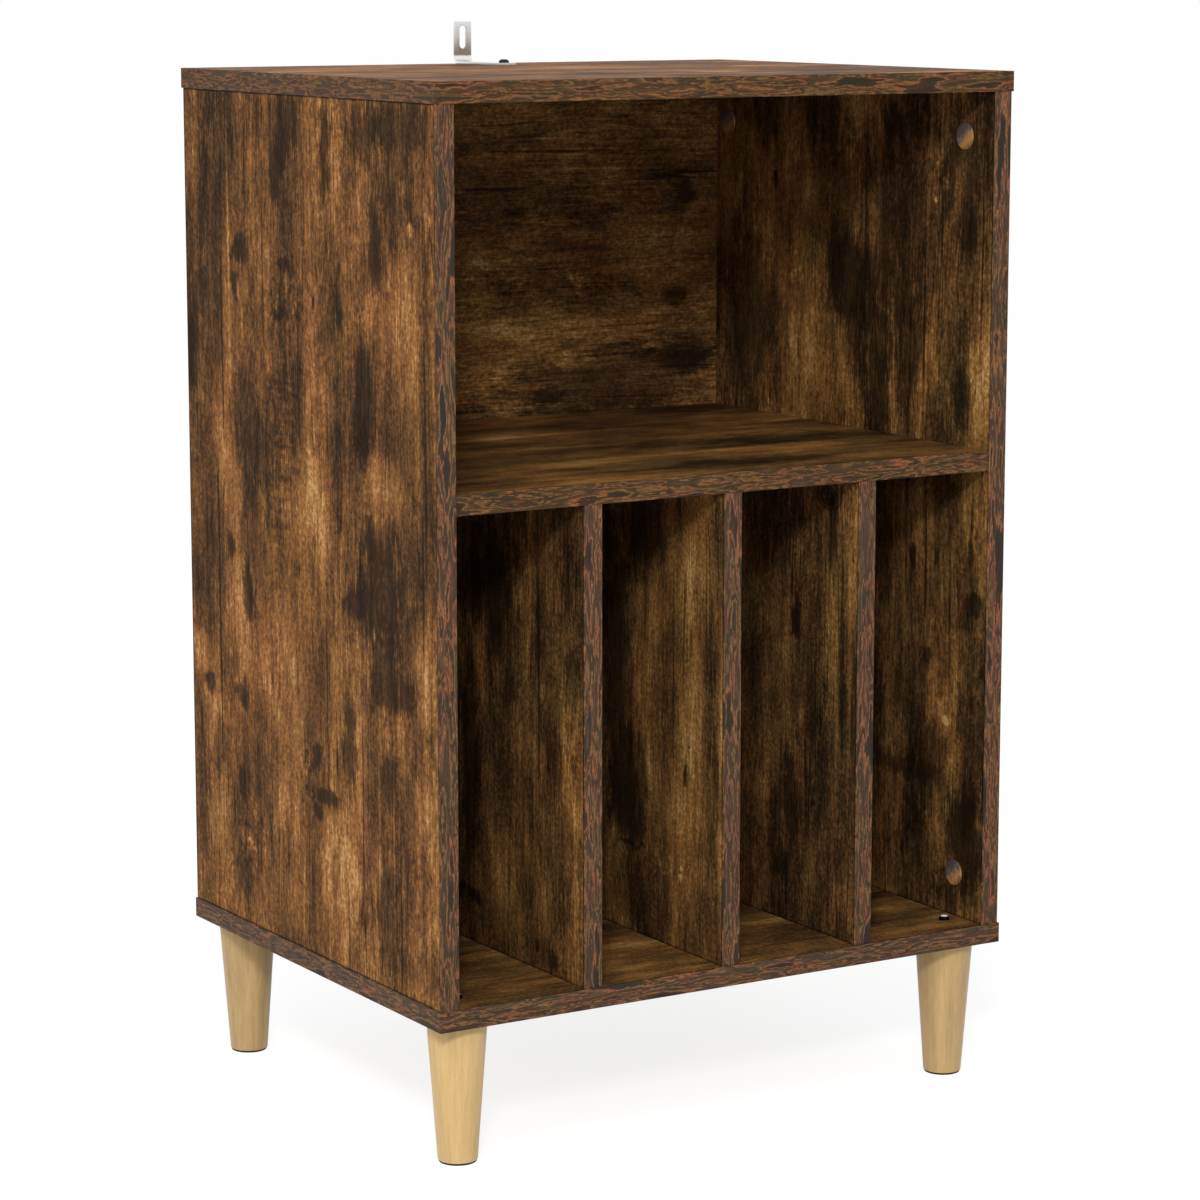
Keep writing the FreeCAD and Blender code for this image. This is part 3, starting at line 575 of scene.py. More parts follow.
@dataclass(frozen=True)
class BarkBand:
    """The edge bands' print: dark islands with pale wavy outlines, drawn out along the band."""

    name: str
    run: BandRun
    seed: float
    cast: Stops

    CONTOURS = (
        (0.0, (48, 45, 44)),
        (0.27, (61, 54, 50)),
        (0.335, (81, 63, 50)),
        (0.365, (164, 110, 80)),
        (0.395, (113, 84, 65)),
        (0.45, (87, 69, 57)),
        (0.505, (70, 60, 52)),
        (0.54, (92, 71, 55)),
        (0.565, (148, 104, 76)),
        (0.595, (109, 82, 63)),
        (0.65, (65, 56, 50)),
        (0.69, (78, 60, 48)),
        (0.715, (155, 108, 76)),
        (0.75, (98, 73, 55)),
        (0.84, (57, 54, 52)),
        (1.0, (96, 78, 61)),
    )

    # How the print moves on from band to band, along the band and across it
    SEED_STEP = (173.0, 31.0)

    def material(self) -> bpy.types.Material:
        """Build the print.

        Returns:
            The material.
        """
        sheet = FinishSheet(self.name)
        x, y, z = sheet.parts(sheet.spot())
        level = self.run is BandRun.LEVEL
        along, across = (x + y, z) if level else (z, x + y)
        ahead, aside = (self.seed * step for step in self.SEED_STEP)
        spot = sheet.vector(along + ahead, across + aside, x * 0.2 + y * 0.3)
        wavy = sheet.drift(spot, (22.0, 8.0, 60.0), (26.0, 4.4, 0.0), 4.0)
        islands = sheet.noise(wavy, (62.0, 8.5, 60.0), 3.0, 0.45)
        speck = sheet.noise(spot, (4.5, 0.8, 40.0), 2.0)
        value = islands * 1.7 + speck * 0.2 + 0.5
        colour = sheet.ramp(value, self.CONTOURS)
        cast = sheet.noise(spot, (26.0, 8.0, 80.0), 1.0)
        tint = sheet.ramp(sheet.ease(cast, -0.14, 0.14), self.cast)
        colour = sheet.blend(1.0, colour, tint, "MULTIPLY")
        roughness = speck * 0.2 + 0.46
        return sheet.coat(colour, roughness, speck + islands * 0.5 + 0.5, 0.06, Specular_IOR_Level=0.06)


@dataclass(frozen=True)
class LegWood:
    """Pale varnished wood with fine upright grain. Its tone is set per leg, and the difference between the
    legs is painted light and painted shade.
    """

    name: str
    tone: float

    SHADES = (
        (0.1, (168, 138, 90)),
        (0.35, (197, 164, 110)),
        (0.6, (217, 182, 121)),
        (0.85, (231, 200, 141)),
    )

    def material(self) -> bpy.types.Material:
        """Build the wood.

        Returns:
            The material.
        """
        sheet = FinishSheet(self.name)
        wavy = sheet.drift(sheet.spot(), (30.0, 30.0, 90.0), (5.0, 5.0, 0.0))
        plank = sheet.noise(wavy, (7.0, 7.0, 160.0), 2.0)
        streak = sheet.noise(wavy, (1.1, 1.1, 40.0), 3.0, 0.6)
        pore = sheet.noise(wavy, (0.5, 0.5, 5.0), 1.0)
        colour = sheet.ramp(plank * 0.6 + streak * 0.42 + pore * 0.2 + self.tone, self.SHADES)
        roughness = streak * 0.25 + 0.42
        return sheet.coat(colour, roughness, pore * 0.7 + streak * 0.5 + 0.5, 0.04)


@dataclass(frozen=True)
class PlainFinish:
    """A finish of one material with fine unevenness: metal, rubber or turned wood."""

    name: str
    shades: Stops
    grain: Tuple[float, float, float]
    roughness: float
    uneven: float = 0.1
    depth: float = 0.01
    metallic: float = 0.0

    # How many times larger than its grit a finish's clouds are
    CLOUD_SIZE = 9

    def material(self) -> bpy.types.Material:
        """Build the finish.

        Returns:
            The material.
        """
        sheet = FinishSheet(self.name)
        spot = sheet.spot()
        cloud = sheet.noise(spot, tuple(size * self.CLOUD_SIZE for size in self.grain), 2.0)
        grit = sheet.noise(spot, self.grain, 3.0, 0.6)
        value = cloud * 1.2 + grit * 0.8 + 0.5
        roughness = grit * self.uneven + cloud * self.uneven + self.roughness
        colour = sheet.ramp(value, self.shades)
        return sheet.coat(colour, roughness, grit + 0.5, self.depth, Metallic=self.metallic)


@dataclass(frozen=True)
class CapFoil:
    """Printed foil on the cover caps, part grey and part honey."""

    name: str = "cap_foil"
    cap_level: float = CAM_HIGH - MIDDLE[2]
    cap_depth: float = CAM_DEEP

    SHADES = (
        (0.15, (84, 76, 74)),
        (0.42, (112, 100, 96)),
        (0.5, (146, 118, 92)),
        (0.62, (178, 132, 78)),
        (0.8, (196, 146, 84)),
        (0.95, (132, 92, 54)),
    )

    def material(self) -> bpy.types.Material:
        """Build the foil.

        Returns:
            The material.
        """
        sheet = FinishSheet(self.name)
        spot = sheet.spot()
        _, deep, high = sheet.parts(sheet.drift(spot, (9.0, 9.0, 9.0), (0.0, 9.0, 9.0), 3.0))
        level = high - MIDDLE[2]
        below = sheet.combine("SIGN", level) * self.cap_level - level
        front = sheet.combine("SIGN", deep) * self.cap_depth - deep
        speck = sheet.noise(spot, (2.6, 1.4, 3.0), 3.0)
        value = below * 0.045 + front * 0.03 + speck * 0.9 + 0.48
        return sheet.coat(sheet.ramp(value, self.SHADES), speck * 0.2 + 0.4, speck + 0.5, 0.03)


@dataclass(frozen=True)
class PlatedSteelWithPaintedReflection:
    """Bright plated steel with a painted reflection: pale at the bend, browner just above it and paler
    again towards the top.
    """

    name: str = "plated_steel"
    bend: float = 772.0
    reach: float = 28.0

    # Painted reflection up the strap: a pale highlight at the bend, the brown of the top board just above
    # it, then paler up to white
    SHADES = (
        (0.0, (232, 233, 230)),
        (0.03, (226, 228, 224)),
        (0.07, (142, 127, 111)),
        (0.28, (164, 154, 147)),
        (0.55, (204, 203, 203)),
        (1.0, (236, 236, 236)),
    )

    def material(self) -> bpy.types.Material:
        """Build the finish.

        Returns:
            The material.
        """
        sheet = FinishSheet(self.name)
        spot = sheet.spot()
        brushed = sheet.noise(spot, (6.0, 0.5, 0.4), 3.0, 0.6)
        # The colour follows the height above the bend: this is the painted reflection
        height = (sheet.parts(spot)[2] - self.bend) / self.reach
        colour = sheet.ramp(height + brushed * 0.05, self.SHADES)
        return sheet.coat(colour, brushed * 0.06 + 0.18, brushed + 0.5, 0.0005, Metallic=1.0)


BLACKENED: Stops = ((0.2, (20, 19, 19)), (0.8, (38, 36, 35)))


@dataclass(frozen=True)
class SocketBolt:
    """Blackened steel, with a painted glint: a white patch over the socket and the crown's middle of each
    head.
    """

    name: str = "socket_bolt"
    glint_radius: float = 2.95

    def material(self) -> bpy.types.Material:
        """Build the finish.

        Returns:
            The material.
        """
        sheet = FinishSheet(self.name)
        spot = sheet.spot()
        across, deep, _ = sheet.parts(sheet.combine("ABSOLUTE", spot))
        aside = sheet.vector(across - LEG_ACROSS, deep - LEG_DEEP, 0.0)
        # Painted glint: within this radius of each leg's axis the head turns white and not metallic,
        # standing in for a highlight
        painted_glint = sheet.combine("LESS_THAN", sheet.combine("LENGTH", aside), self.glint_radius)
        grit = sheet.noise(spot, (0.4, 0.4, 0.4), 3.0)
        black = sheet.ramp(grit + 0.5, BLACKENED)
        steel = sheet.ramp(grit + 0.5, ((0.2, (224, 224, 222)), (0.8, (244, 244, 242))))
        metallic = sheet.combine("SUBTRACT", 1.0, painted_glint)
        colour = sheet.blend(painted_glint, black, steel)
        return sheet.coat(colour, grit * 0.1 + 0.26, grit + 0.5, 0.004, Metallic=metallic)


BLACK_SCREW = PlainFinish(
    "blackened_steel", BLACKENED,
    grain=(0.4, 0.4, 0.4), roughness=0.32, uneven=0.15, depth=0.006, metallic=0.6,
)
ZINC = PlainFinish(
    "zinc_fitting", ((0.2, (150, 151, 150)), (0.8, (184, 184, 182))),
    grain=(0.6, 0.6, 0.6), roughness=0.36, uneven=0.2, metallic=1.0,
)
BRASS = PlainFinish(
    "insert_brass", ((0.2, (176, 138, 72)), (0.8, (206, 170, 100))),
    grain=(0.5, 0.5, 0.5), roughness=0.32, uneven=0.15, depth=0.008, metallic=1.0,
)
BEECH = PlainFinish(
    "dowel_beech", ((0.2, (186, 148, 104)), (0.8, (216, 180, 136))),
    grain=(0.4, 0.4, 3.0), roughness=0.6, uneven=0.15, depth=0.03,
)
RUBBER = PlainFinish(
    "pad_rubber", ((0.2, (22, 21, 20)), (0.8, (36, 34, 32))),
    grain=(0.35, 0.35, 0.35), roughness=0.8, uneven=0.2, depth=0.04,
)


# Grown shapes
class Aim(Enum):
    """Where a fitting points at each seat: a fixed part, and a part that follows the seat's side."""

    UP = ((0, 0, 1), (0, 0, 0))
    DOWN = ((0, 0, -1), (0, 0, 0))
    ACROSS = ((1, 0, 0), (0, 0, 0))
    INWARD = ((0, 0, 0), (-1, 0, 0))
    OUTWARD = ((0, 0, 0), (1, 0, 0))
    TO_MID_HEIGHT = ((0, 0, 0), (0, 0, -1))
    FROM_MID_HEIGHT = ((0, 0, 0), (0, 0, 1))


@dataclass(frozen=True)
class Seats:
    """A block of like places, in millimetres: the first one, the pitch and the count each way."""

    first: Tuple[float, float, float]
    pitch: Tuple[float, float, float] = (0.0, 0.0, 0.0)
    counts: Tuple[int, int, int] = (1, 1, 1)
    axis: Aim = Aim.UP
    key: Aim = Aim.ACROSS


@dataclass(frozen=True)
class Cross:
    """A driver cross cut into a head, in millimetres."""

    level: float
    span: float
    width: float
    depth: float


@dataclass(frozen=True)
class HexSocket:
    """A six-sided socket cut into a head, in millimetres."""

    level: float
    radius: float
    depth: float


@dataclass(frozen=True)
class SideBore:
    """A round recess that enters a turned piece from its +X side, in millimetres."""

    level: float
    radius: float
    start: float
    length: float


@dataclass(frozen=True)
class Corner:
    """A corner of a turned outline, in millimetres."""

    radius: float
    height: float
    rounding: float = 0.0


@dataclass(frozen=True)
class Turned:
    """A turned piece: its outline from the foot of its axis to the head, and what is cut into it."""

    corners: Sequence[Corner]
    segments: int = 32
    cross: Optional[Cross] = None
    socket: Optional[HexSocket] = None
    bore: Optional[SideBore] = None
    flutes: int = 0
    flute_depth: float = 0.0


class GrowthSheet(NodeSheet):
    """A Geometry Nodes tree with named inputs."""

    KINDS = {
        "length": "NodeSocketFloat",
        "count": "NodeSocketInt",
        "vector": "NodeSocketVector",
        "material": "NodeSocketMaterial",
    }

    def __init__(self, name: str) -> None:
        """Start an empty tree with its group input.

        Args:
            name: The tree's name.
        """
        super().__init__(bpy.data.node_groups.new(name, "GeometryNodeTree"))
        self.entry = self.tree.nodes.new("NodeGroupInput")
        self.values: Dict[str, object] = {}

    def given(self, name: str, kind: str, value: object) -> Signal:
        """Add a named input.

        Args:
            name: The input's name.
            kind: What it is: a length, count, vector or material.
            value: What it is set to on the piece.

        Returns:
            The input's signal.
        """
        item = self.tree.interface.new_socket(name=name, in_out="INPUT", socket_type=self.KINDS[kind])
        self.values[item.identifier] = value
        return Signal(self, self.entry.outputs[name])

    def chosen(self, kind: str, number: Signal, choices: Sequence[Signal]) -> Signal:
        """One of several values by its number.

        Args:
            kind: The values' data type.
            number: Which one, from 0.
            choices: The values.

        Returns:
            The chosen value.
        """
        node = self.tree.nodes.new("GeometryNodeIndexSwitch")
        node.data_type = kind
        while len(node.index_switch_items) < len(choices):
            node.index_switch_items.new()
        self.feed(node.inputs[0], number)
        for socket, choice in zip(list(node.inputs)[1:], choices):
            self.feed(socket, choice)
        return Signal(self, node.outputs[0])

    def carve(self, body: Signal, *tools: Signal) -> Signal:
        """Cut meshes out of another.

        Args:
            body: The mesh that is cut.
            tools: What is cut out of it.

        Returns:
            The cut mesh.
        """
        node = self.tree.nodes.new("GeometryNodeMeshBoolean")
        node.operation = "DIFFERENCE"
        node.solver = "EXACT"
        self.tree.links.new(body.socket, node.inputs["Mesh 1"])
        for tool in tools:
            self.tree.links.new(tool.socket, node.inputs["Mesh 2"])
        return Signal(self, node.outputs["Mesh"])

    def close(self, geometry: Signal) -> None:
        """Link the result to the group's output.

        Args:
            geometry: The result.
        """
        self.tree.interface.new_socket(name="Mesh", in_out="OUTPUT", socket_type="NodeSocketGeometry")
        node = self.tree.nodes.new("NodeGroupOutput")
        self.tree.links.new(geometry.socket, node.inputs[0])

    def grow(self, name: str) -> bpy.types.Object:
        """Evaluate the tree into a plain mesh.

        Args:
            name: The piece's name.

        Returns:
            The piece, without its modifier.
        """
        piece = bpy.data.objects.new(name, bpy.data.meshes.new(name + "_seed"))
        bpy.context.scene.collection.objects.link(piece)
        modifier = piece.modifiers.new("grown", "NODES")
        modifier.node_group = self.tree
        for identifier, value in self.values.items():
            modifier[identifier] = value
        depsgraph = bpy.context.evaluated_depsgraph_get()
        mesh = bpy.data.meshes.new_from_object(piece.evaluated_get(depsgraph), depsgraph=depsgraph)
        piece.modifiers.clear()
        piece.data = mesh
        mesh.name = name
        return piece


class TurnedTree:
    """Geometry Nodes that turn an outline, cut it and set it on its seats."""

    FILLET_STEPS = 5
    SMOOTH_ANGLE = math.radians(32)
    BORE_SIDES = 24

    # Points within this many millimetres of the widest radius are fluted. A cross's second arm is this
    # much taller than the first, so that the two share no face
    FLUTE_MARGIN = 0.01
    ARM_RATIO = 1.0001

    def __init__(self, name: str, shape: Turned, seats: Seats, material: bpy.types.Material) -> None:
        """Hold the shape, its seats and its finish.

        Args:
            name: The piece's name.
            shape: One piece about its own axis.
            seats: The places that it is set on.
            material: Its finish.
        """
        self.name = name
        self.shape = shape
        self.seats = seats
        self.material = material
        self.sheet = GrowthSheet(name + "_tree")

    def length(self, name: str, millimetres: float) -> Signal:
        """A named length in millimetres as metres."""
        return self.sheet.given(name, "length", float(millimetres)) * MILLIMETRE

    def lengths(self, name: str, millimetres: Sequence[float]) -> Signal:
        """A named vector in millimetres as metres."""
        return self.sheet.given(name, "vector", [float(v) for v in millimetres]) * MILLIMETRE

    def outline(self) -> Signal:
        """The outline as a curve in the XZ plane.

        Returns:
            The curve, with its corners rounded.
        """
        sheet = self.sheet
        corners = self.shape.corners
        places = [
            self.lengths(f"Corner {number}", (corner.radius, 0.0, corner.height))
            for number, corner in enumerate(corners, 1)
        ]
        roundings = [
            self.length(f"Rounding {number}", corner.rounding) for number, corner in enumerate(corners, 1)
        ]
        index = sheet.place("GeometryNodeInputIndex", {})
        line = sheet.place("GeometryNodeMeshLine", {"Count": len(corners)}, mode="OFFSET")
        inputs = {"Geometry": line, "Position": sheet.chosen("VECTOR", index, places)}
        bent = sheet.place("GeometryNodeSetPosition", inputs)
        curve = sheet.place("GeometryNodeMeshToCurve", {"Mesh": bent})
        rounding = sheet.chosen("FLOAT", index, roundings)
        inputs = {"Curve": curve, "Count": self.FILLET_STEPS, "Radius": rounding, "Limit Radius": True}
        return sheet.place("GeometryNodeFilletCurve", inputs, mode="POLY")

    def turn(self, outline: Signal) -> Signal:
        """Turn the outline about the Z axis into a closed mesh.

        Args:
            outline: The outline as a curve.

        Returns:
            The turned mesh, smooth except at its corners.
        """
        sheet = self.sheet
        segments = sheet.given("Segments", "count", self.shape.segments)
        rings = sheet.place(
            "GeometryNodeAttributeDomainSize", {"Geometry": outline}, "Point Count", component="CURVE"
        )
        columns = segments + 1.0
        grid = sheet.place("GeometryNodeMeshGrid", {"Vertices X": rings, "Vertices Y": columns})
        index = sheet.place("GeometryNodeInputIndex", {})
        ring = sheet.combine("FLOOR", (index + 0.5) / columns)
        angle = (index - ring * columns) * math.tau / segments
        position = sheet.place("GeometryNodeInputPosition", {})
        inputs = {"Geometry": outline, "Value": position, "Index": ring}
        sampled = sheet.place("GeometryNodeSampleIndex", inputs, data_type="FLOAT_VECTOR", domain="POINT")
        radius, _, height = sheet.parts(sampled)
        if self.shape.flutes:
            flutes = sheet.given("Flutes", "count", self.shape.flutes)
            depth = self.length("Flute Depth", self.shape.flute_depth)
            widest = max(corner.radius for corner in self.shape.corners)
            wall = self.length("Flute Wall", widest - self.FLUTE_MARGIN)
            on_wall = sheet.combine("GREATER_THAN", radius, wall)
            wave = sheet.combine("COSINE", angle * flutes) * 0.5 + 0.5
            radius = radius - wave * depth * on_wall
        across = radius * sheet.combine("COSINE", angle)
        deep = radius * sheet.combine("SINE", angle)
        inputs = {"Geometry": grid, "Position": sheet.vector(across, deep, height)}
        turned = sheet.place("GeometryNodeSetPosition", inputs)
        closed = sheet.place("GeometryNodeMergeByDistance", {"Geometry": turned, "Distance": WELD})
        return sheet.place("GeometryNodeFlipFaces", {"Mesh": closed})

    def moved(self, tool: Signal, across: Operand, level: Signal,
              turn: Tuple[float, float, float] = (0.0, 0.0, 0.0)) -> Signal:
        """A cutting tool at its place on the axis.

        Args:
            tool: The tool about the origin.
            across: How far it moves along X.
            level: How far it moves up.
            turn: The angles that it turns by first.

        Returns:
            The tool at its place.
        """
        inputs = {"Geometry": tool, "Translation": self.sheet.vector(across, 0.0, level), "Rotation": turn}
        return self.sheet.place("GeometryNodeTransform", inputs)

    def cut(self, body: Signal) -> Signal:
        """Cut the driver cross, the socket and the side bore, where the shape has them.

        Args:
            body: The turned mesh.

        Returns:
            The cut mesh.
        """
        sheet = self.sheet
        tools: List[Signal] = []
        cross = self.shape.cross
        if cross is not None:
            span = self.length("Cross Span", cross.span)
            width = self.length("Cross Width", cross.width)
            tall = self.length("Cross Depth", cross.depth) * 2.0
            level = self.length("Cross Level", cross.level)
            arms = (sheet.vector(span, width, tall), sheet.vector(width, span, tall * self.ARM_RATIO))
            for size in arms:
                tools.append(self.moved(sheet.place("GeometryNodeMeshCube", {"Size": size}), 0.0, level))
        socket = self.shape.socket
        if socket is not None:
            tall = self.length("Socket Depth", socket.depth) * 2.0
            inputs = {"Vertices": 6, "Radius": self.length("Socket Radius", socket.radius), "Depth": tall}
            prism = sheet.place("GeometryNodeMeshCylinder", inputs)
            tools.append(self.moved(prism, 0.0, self.length("Socket Level", socket.level)))
        bore = self.shape.bore
        if bore is not None:
            length = self.length("Bore Length", bore.length)
            radius = self.length("Bore Radius", bore.radius)
            inputs = {"Vertices": self.BORE_SIDES, "Radius": radius, "Depth": length}
            shaft = sheet.place("GeometryNodeMeshCylinder", inputs)
            middle = self.length("Bore Start", bore.start) + length * 0.5
            level = self.length("Bore Level", bore.level)
            tools.append(self.moved(shaft, middle, level, (0.0, math.pi / 2, 0.0)))
        return sheet.carve(body, *tools) if tools else body

    def smooth(self, body: Signal) -> Signal:
        """Shade the mesh smooth except across its sharp edges.

        Args:
            body: The mesh.

        Returns:
            The shaded mesh.
        """
        sheet = self.sheet
        inputs = {"Geometry": body, "Shade Smooth": True}
        soft = sheet.place("GeometryNodeSetShadeSmooth", inputs, domain="FACE")
        angle = sheet.place("GeometryNodeInputMeshEdgeAngle", {}, "Unsigned Angle")
        limit = sheet.given("Smooth Angle", "length", self.SMOOTH_ANGLE)
        sharp = sheet.combine("GREATER_THAN", angle, limit)
        inputs = {"Geometry": soft, "Selection": sharp, "Shade Smooth": False}
        return sheet.place("GeometryNodeSetShadeSmooth", inputs, domain="EDGE")

    def aimed(self, seat: Signal, name: str, aim: Aim) -> Signal:
        """The direction that an aim gives at each seat.

        Args:
            seat: The seat's place.
            name: What points that way.
            aim: The aim.

        Returns:
            The direction.
        """
        sheet = self.sheet
        fixed, sided = aim.value
        side = sheet.combine("SIGN", seat - self.lengths(f"{name} Middle", MIDDLE))
        follow = side * sheet.given(f"{name} Side", "vector", [float(v) for v in sided])
        return follow + sheet.given(f"{name} Fixed", "vector", [float(v) for v in fixed])

    def seated(self, body: Signal) -> Signal:
        """Copies of the mesh on its seats, each turned to its aims.

        Args:
            body: One piece about the origin, with its axis along +Z.

        Returns:
            All the pieces.
        """
        sheet = self.sheet
        seats = self.seats
        counts = [
            sheet.given(f"Seats {way}", "count", count)
            for way, count in zip(("Across", "Deep", "High"), seats.counts)
        ]
        index = sheet.place("GeometryNodeInputIndex", {})
        row = sheet.combine("FLOOR", (index + 0.5) / counts[0])
        layer = sheet.combine("FLOOR", (row + 0.5) / counts[1])
        step = sheet.vector(index - row * counts[0], row - layer * counts[1], layer)
        spot = step * self.lengths("Seat Pitch", seats.pitch) + self.lengths("First Seat", seats.first)
        inputs = {"Count": counts[0] * counts[1] * counts[2], "Position": spot}
        points = sheet.place("GeometryNodePoints", inputs)
        position = sheet.place("GeometryNodeInputPosition", {})
        inputs = {"Vector": self.aimed(position, "Axis", seats.axis)}
        axis = sheet.place("FunctionNodeAlignRotationToVector", inputs, axis="Z")
        inputs = {"Rotation": axis, "Vector": self.aimed(position, "Key", seats.key)}
        turn = sheet.place("FunctionNodeAlignRotationToVector", inputs, axis="X", pivot_axis="Z")
        inputs = {"Points": points, "Instance": body, "Rotation": turn}
        copies = sheet.place("GeometryNodeInstanceOnPoints", inputs)
        return sheet.place("GeometryNodeRealizeInstances", {"Geometry": copies})

    def build(self) -> bpy.types.Object:
        """Grow the piece.

        Returns:
            The piece with its finish.
        """
        body = self.smooth(self.cut(self.turn(self.outline())))
        finish = self.sheet.given("Finish", "material", self.material)
        inputs = {"Geometry": self.seated(body), "Material": finish}
        self.sheet.close(self.sheet.place("GeometryNodeSetMaterial", inputs))
        piece = self.sheet.grow(self.name)
        drop_flaps(piece.data)
        return piece


def drop_flaps(mesh: bpy.types.Mesh) -> None:
    """Take out the flat flaps that a cut can leave, which are two faces back to back.

    Args:
        mesh: The mesh, which comes out in triangles.
    """
    shape = bmesh.new()
    shape.from_mesh(mesh)
    bmesh.ops.remove_doubles(shape, verts=shape.verts[:], dist=WELD)
    bmesh.ops.dissolve_degenerate(shape, dist=WELD, edges=shape.edges[:])
    bmesh.ops.triangulate(shape, faces=shape.faces[:])
    groups: Dict[frozenset, List[bmesh.types.BMFace]] = {}
    for face in shape.faces:
        groups.setdefault(frozenset(face.verts), []).append(face)
    flaps = [face for faces in groups.values() if len(faces) > 1 for face in faces]
    bmesh.ops.delete(shape, geom=flaps, context="FACES")
    shape.to_mesh(mesh)
    shape.free()


def settle(piece: bpy.types.Object, node: str) -> None:
    """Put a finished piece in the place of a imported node.

    Args:
        piece: The piece, with its place in its mesh.
        node: The node that it stands for.
    """
    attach(piece, BODY)
    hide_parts(node)
    LOG.info("%s stands for %s with %d faces", piece.name, node, len(piece.data.polygons))


def dress(node: str, material: bpy.types.Material) -> None:
    """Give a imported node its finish.

    Args:
        node: The node's name.
        material: The finish.
    """
    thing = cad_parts[node]
    if not thing.material_slots:
        thing.data.materials.append(material)
    for slot in thing.material_slots:
        slot.material = material
    LOG.info("%s wears %s", node, material.name)


# Sub-assemblies
@dataclass
class Carcass:
    """The boards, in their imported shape. The numbers are where the faces with placed marks lie."""

    outer: float = -INNER_SIDE - BOARD
    inner: float = -INNER_SIDE
    back: float = 177.5
    top: float = UNDER_TOP + BOARD
    shelf: float = UNDER_SHELF + BOARD

    OUTER_CAST = ((0.0, (255, 241, 232)), (1.0, (252, 246, 234)))
    # The top's warm cast is partly the print's colour and partly painted sheen, its pale grazing
    # reflection put into the colour
    TOP_CAST_WITH_PAINTED_SHEEN = ((0.0, (255, 232, 210)), (1.0, (255, 242, 220)))

    def divider(self, name: str, place: int, seed: float, tone: float, left: Sequence[Mark],
                right: Sequence[Mark]) -> SmokedOak:
        """The decor of a divider.

        Args:
            name: The divider's name.
            place: Its place from the middle: -1, 0 or 1.
            seed: Which stretch of the print it has.
            tone: How pale it is.
            left: The marks on its left face.
            right: The marks on its right face.

        Returns:
            The finish.
        """
        middle = place * DIVIDER_PITCH
        marks = {middle - BOARD / 2: left, middle + BOARD / 2: right}
        return SmokedOak(name, GrainRun.STANDING, seed, tone, marks=marks)

    def finishes(self) -> List[SmokedOak]:
        """The decor of each board, named after it.

        Returns:
            One finish for each board.
        """
        stand, level = GrainRun.STANDING, GrainRun.LEVEL
        left, centre, right = LEFT_DIVIDER_MARKS, CENTRE_DIVIDER_MARKS, RIGHT_DIVIDER_MARKS
        left_marks = {self.outer: LEFT_SIDE_MARKS, self.inner: mirrored(RIGHT_INNER_MARKS)}
        right_marks = {-self.inner: RIGHT_INNER_MARKS, -self.outer: mirrored(LEFT_SIDE_MARKS)}
        back, top, shelf = {self.back: BACK_MARKS}, {self.top: TOP_MARKS}, {self.shelf: SHELF_MARKS}
        return [
            SmokedOak("left_side_panel", stand, seed=1.0, cast=self.OUTER_CAST, marks=left_marks),
            SmokedOak("right_side_panel", stand, seed=2.0, marks=right_marks),
            self.divider("left_divider", -1, 3.0, 0.50, left, mirrored(right)),
            self.divider("centre_divider", 0, 4.0, 0.58, centre, mirrored(left)),
            self.divider("right_divider", 1, 5.0, 0.49, right, mirrored(centre)),
            SmokedOak("back_panel", GrainRun.BACK, seed=6.0, tone=0.57, large=0.45, marks=back),
            # The top's paler tone and warm cast are partly painted sheen
            SmokedOak("top_panel", level, seed=7.0, tone=0.62, fine=0.6, cast=self.TOP_CAST_WITH_PAINTED_SHEEN, marks=top),
            SmokedOak("bottom_panel", level, seed=8.0, tone=0.59, fine=0.7),
            SmokedOak("middle_shelf", level, seed=9.0, tone=0.55, fine=0.45, large=0.9, marks=shelf),
        ]

    def build(self) -> None:
        """Dress every board."""
        for finish in self.finishes():
            dress(finish.name, finish.material())


def mirrored(marks: Sequence[Mark]) -> Tuple[Mark, ...]:
    """The same marks turned front to rear, as where the print comes round again."""
    return tuple(replace(mark, across=-mark.across) for mark in marks)
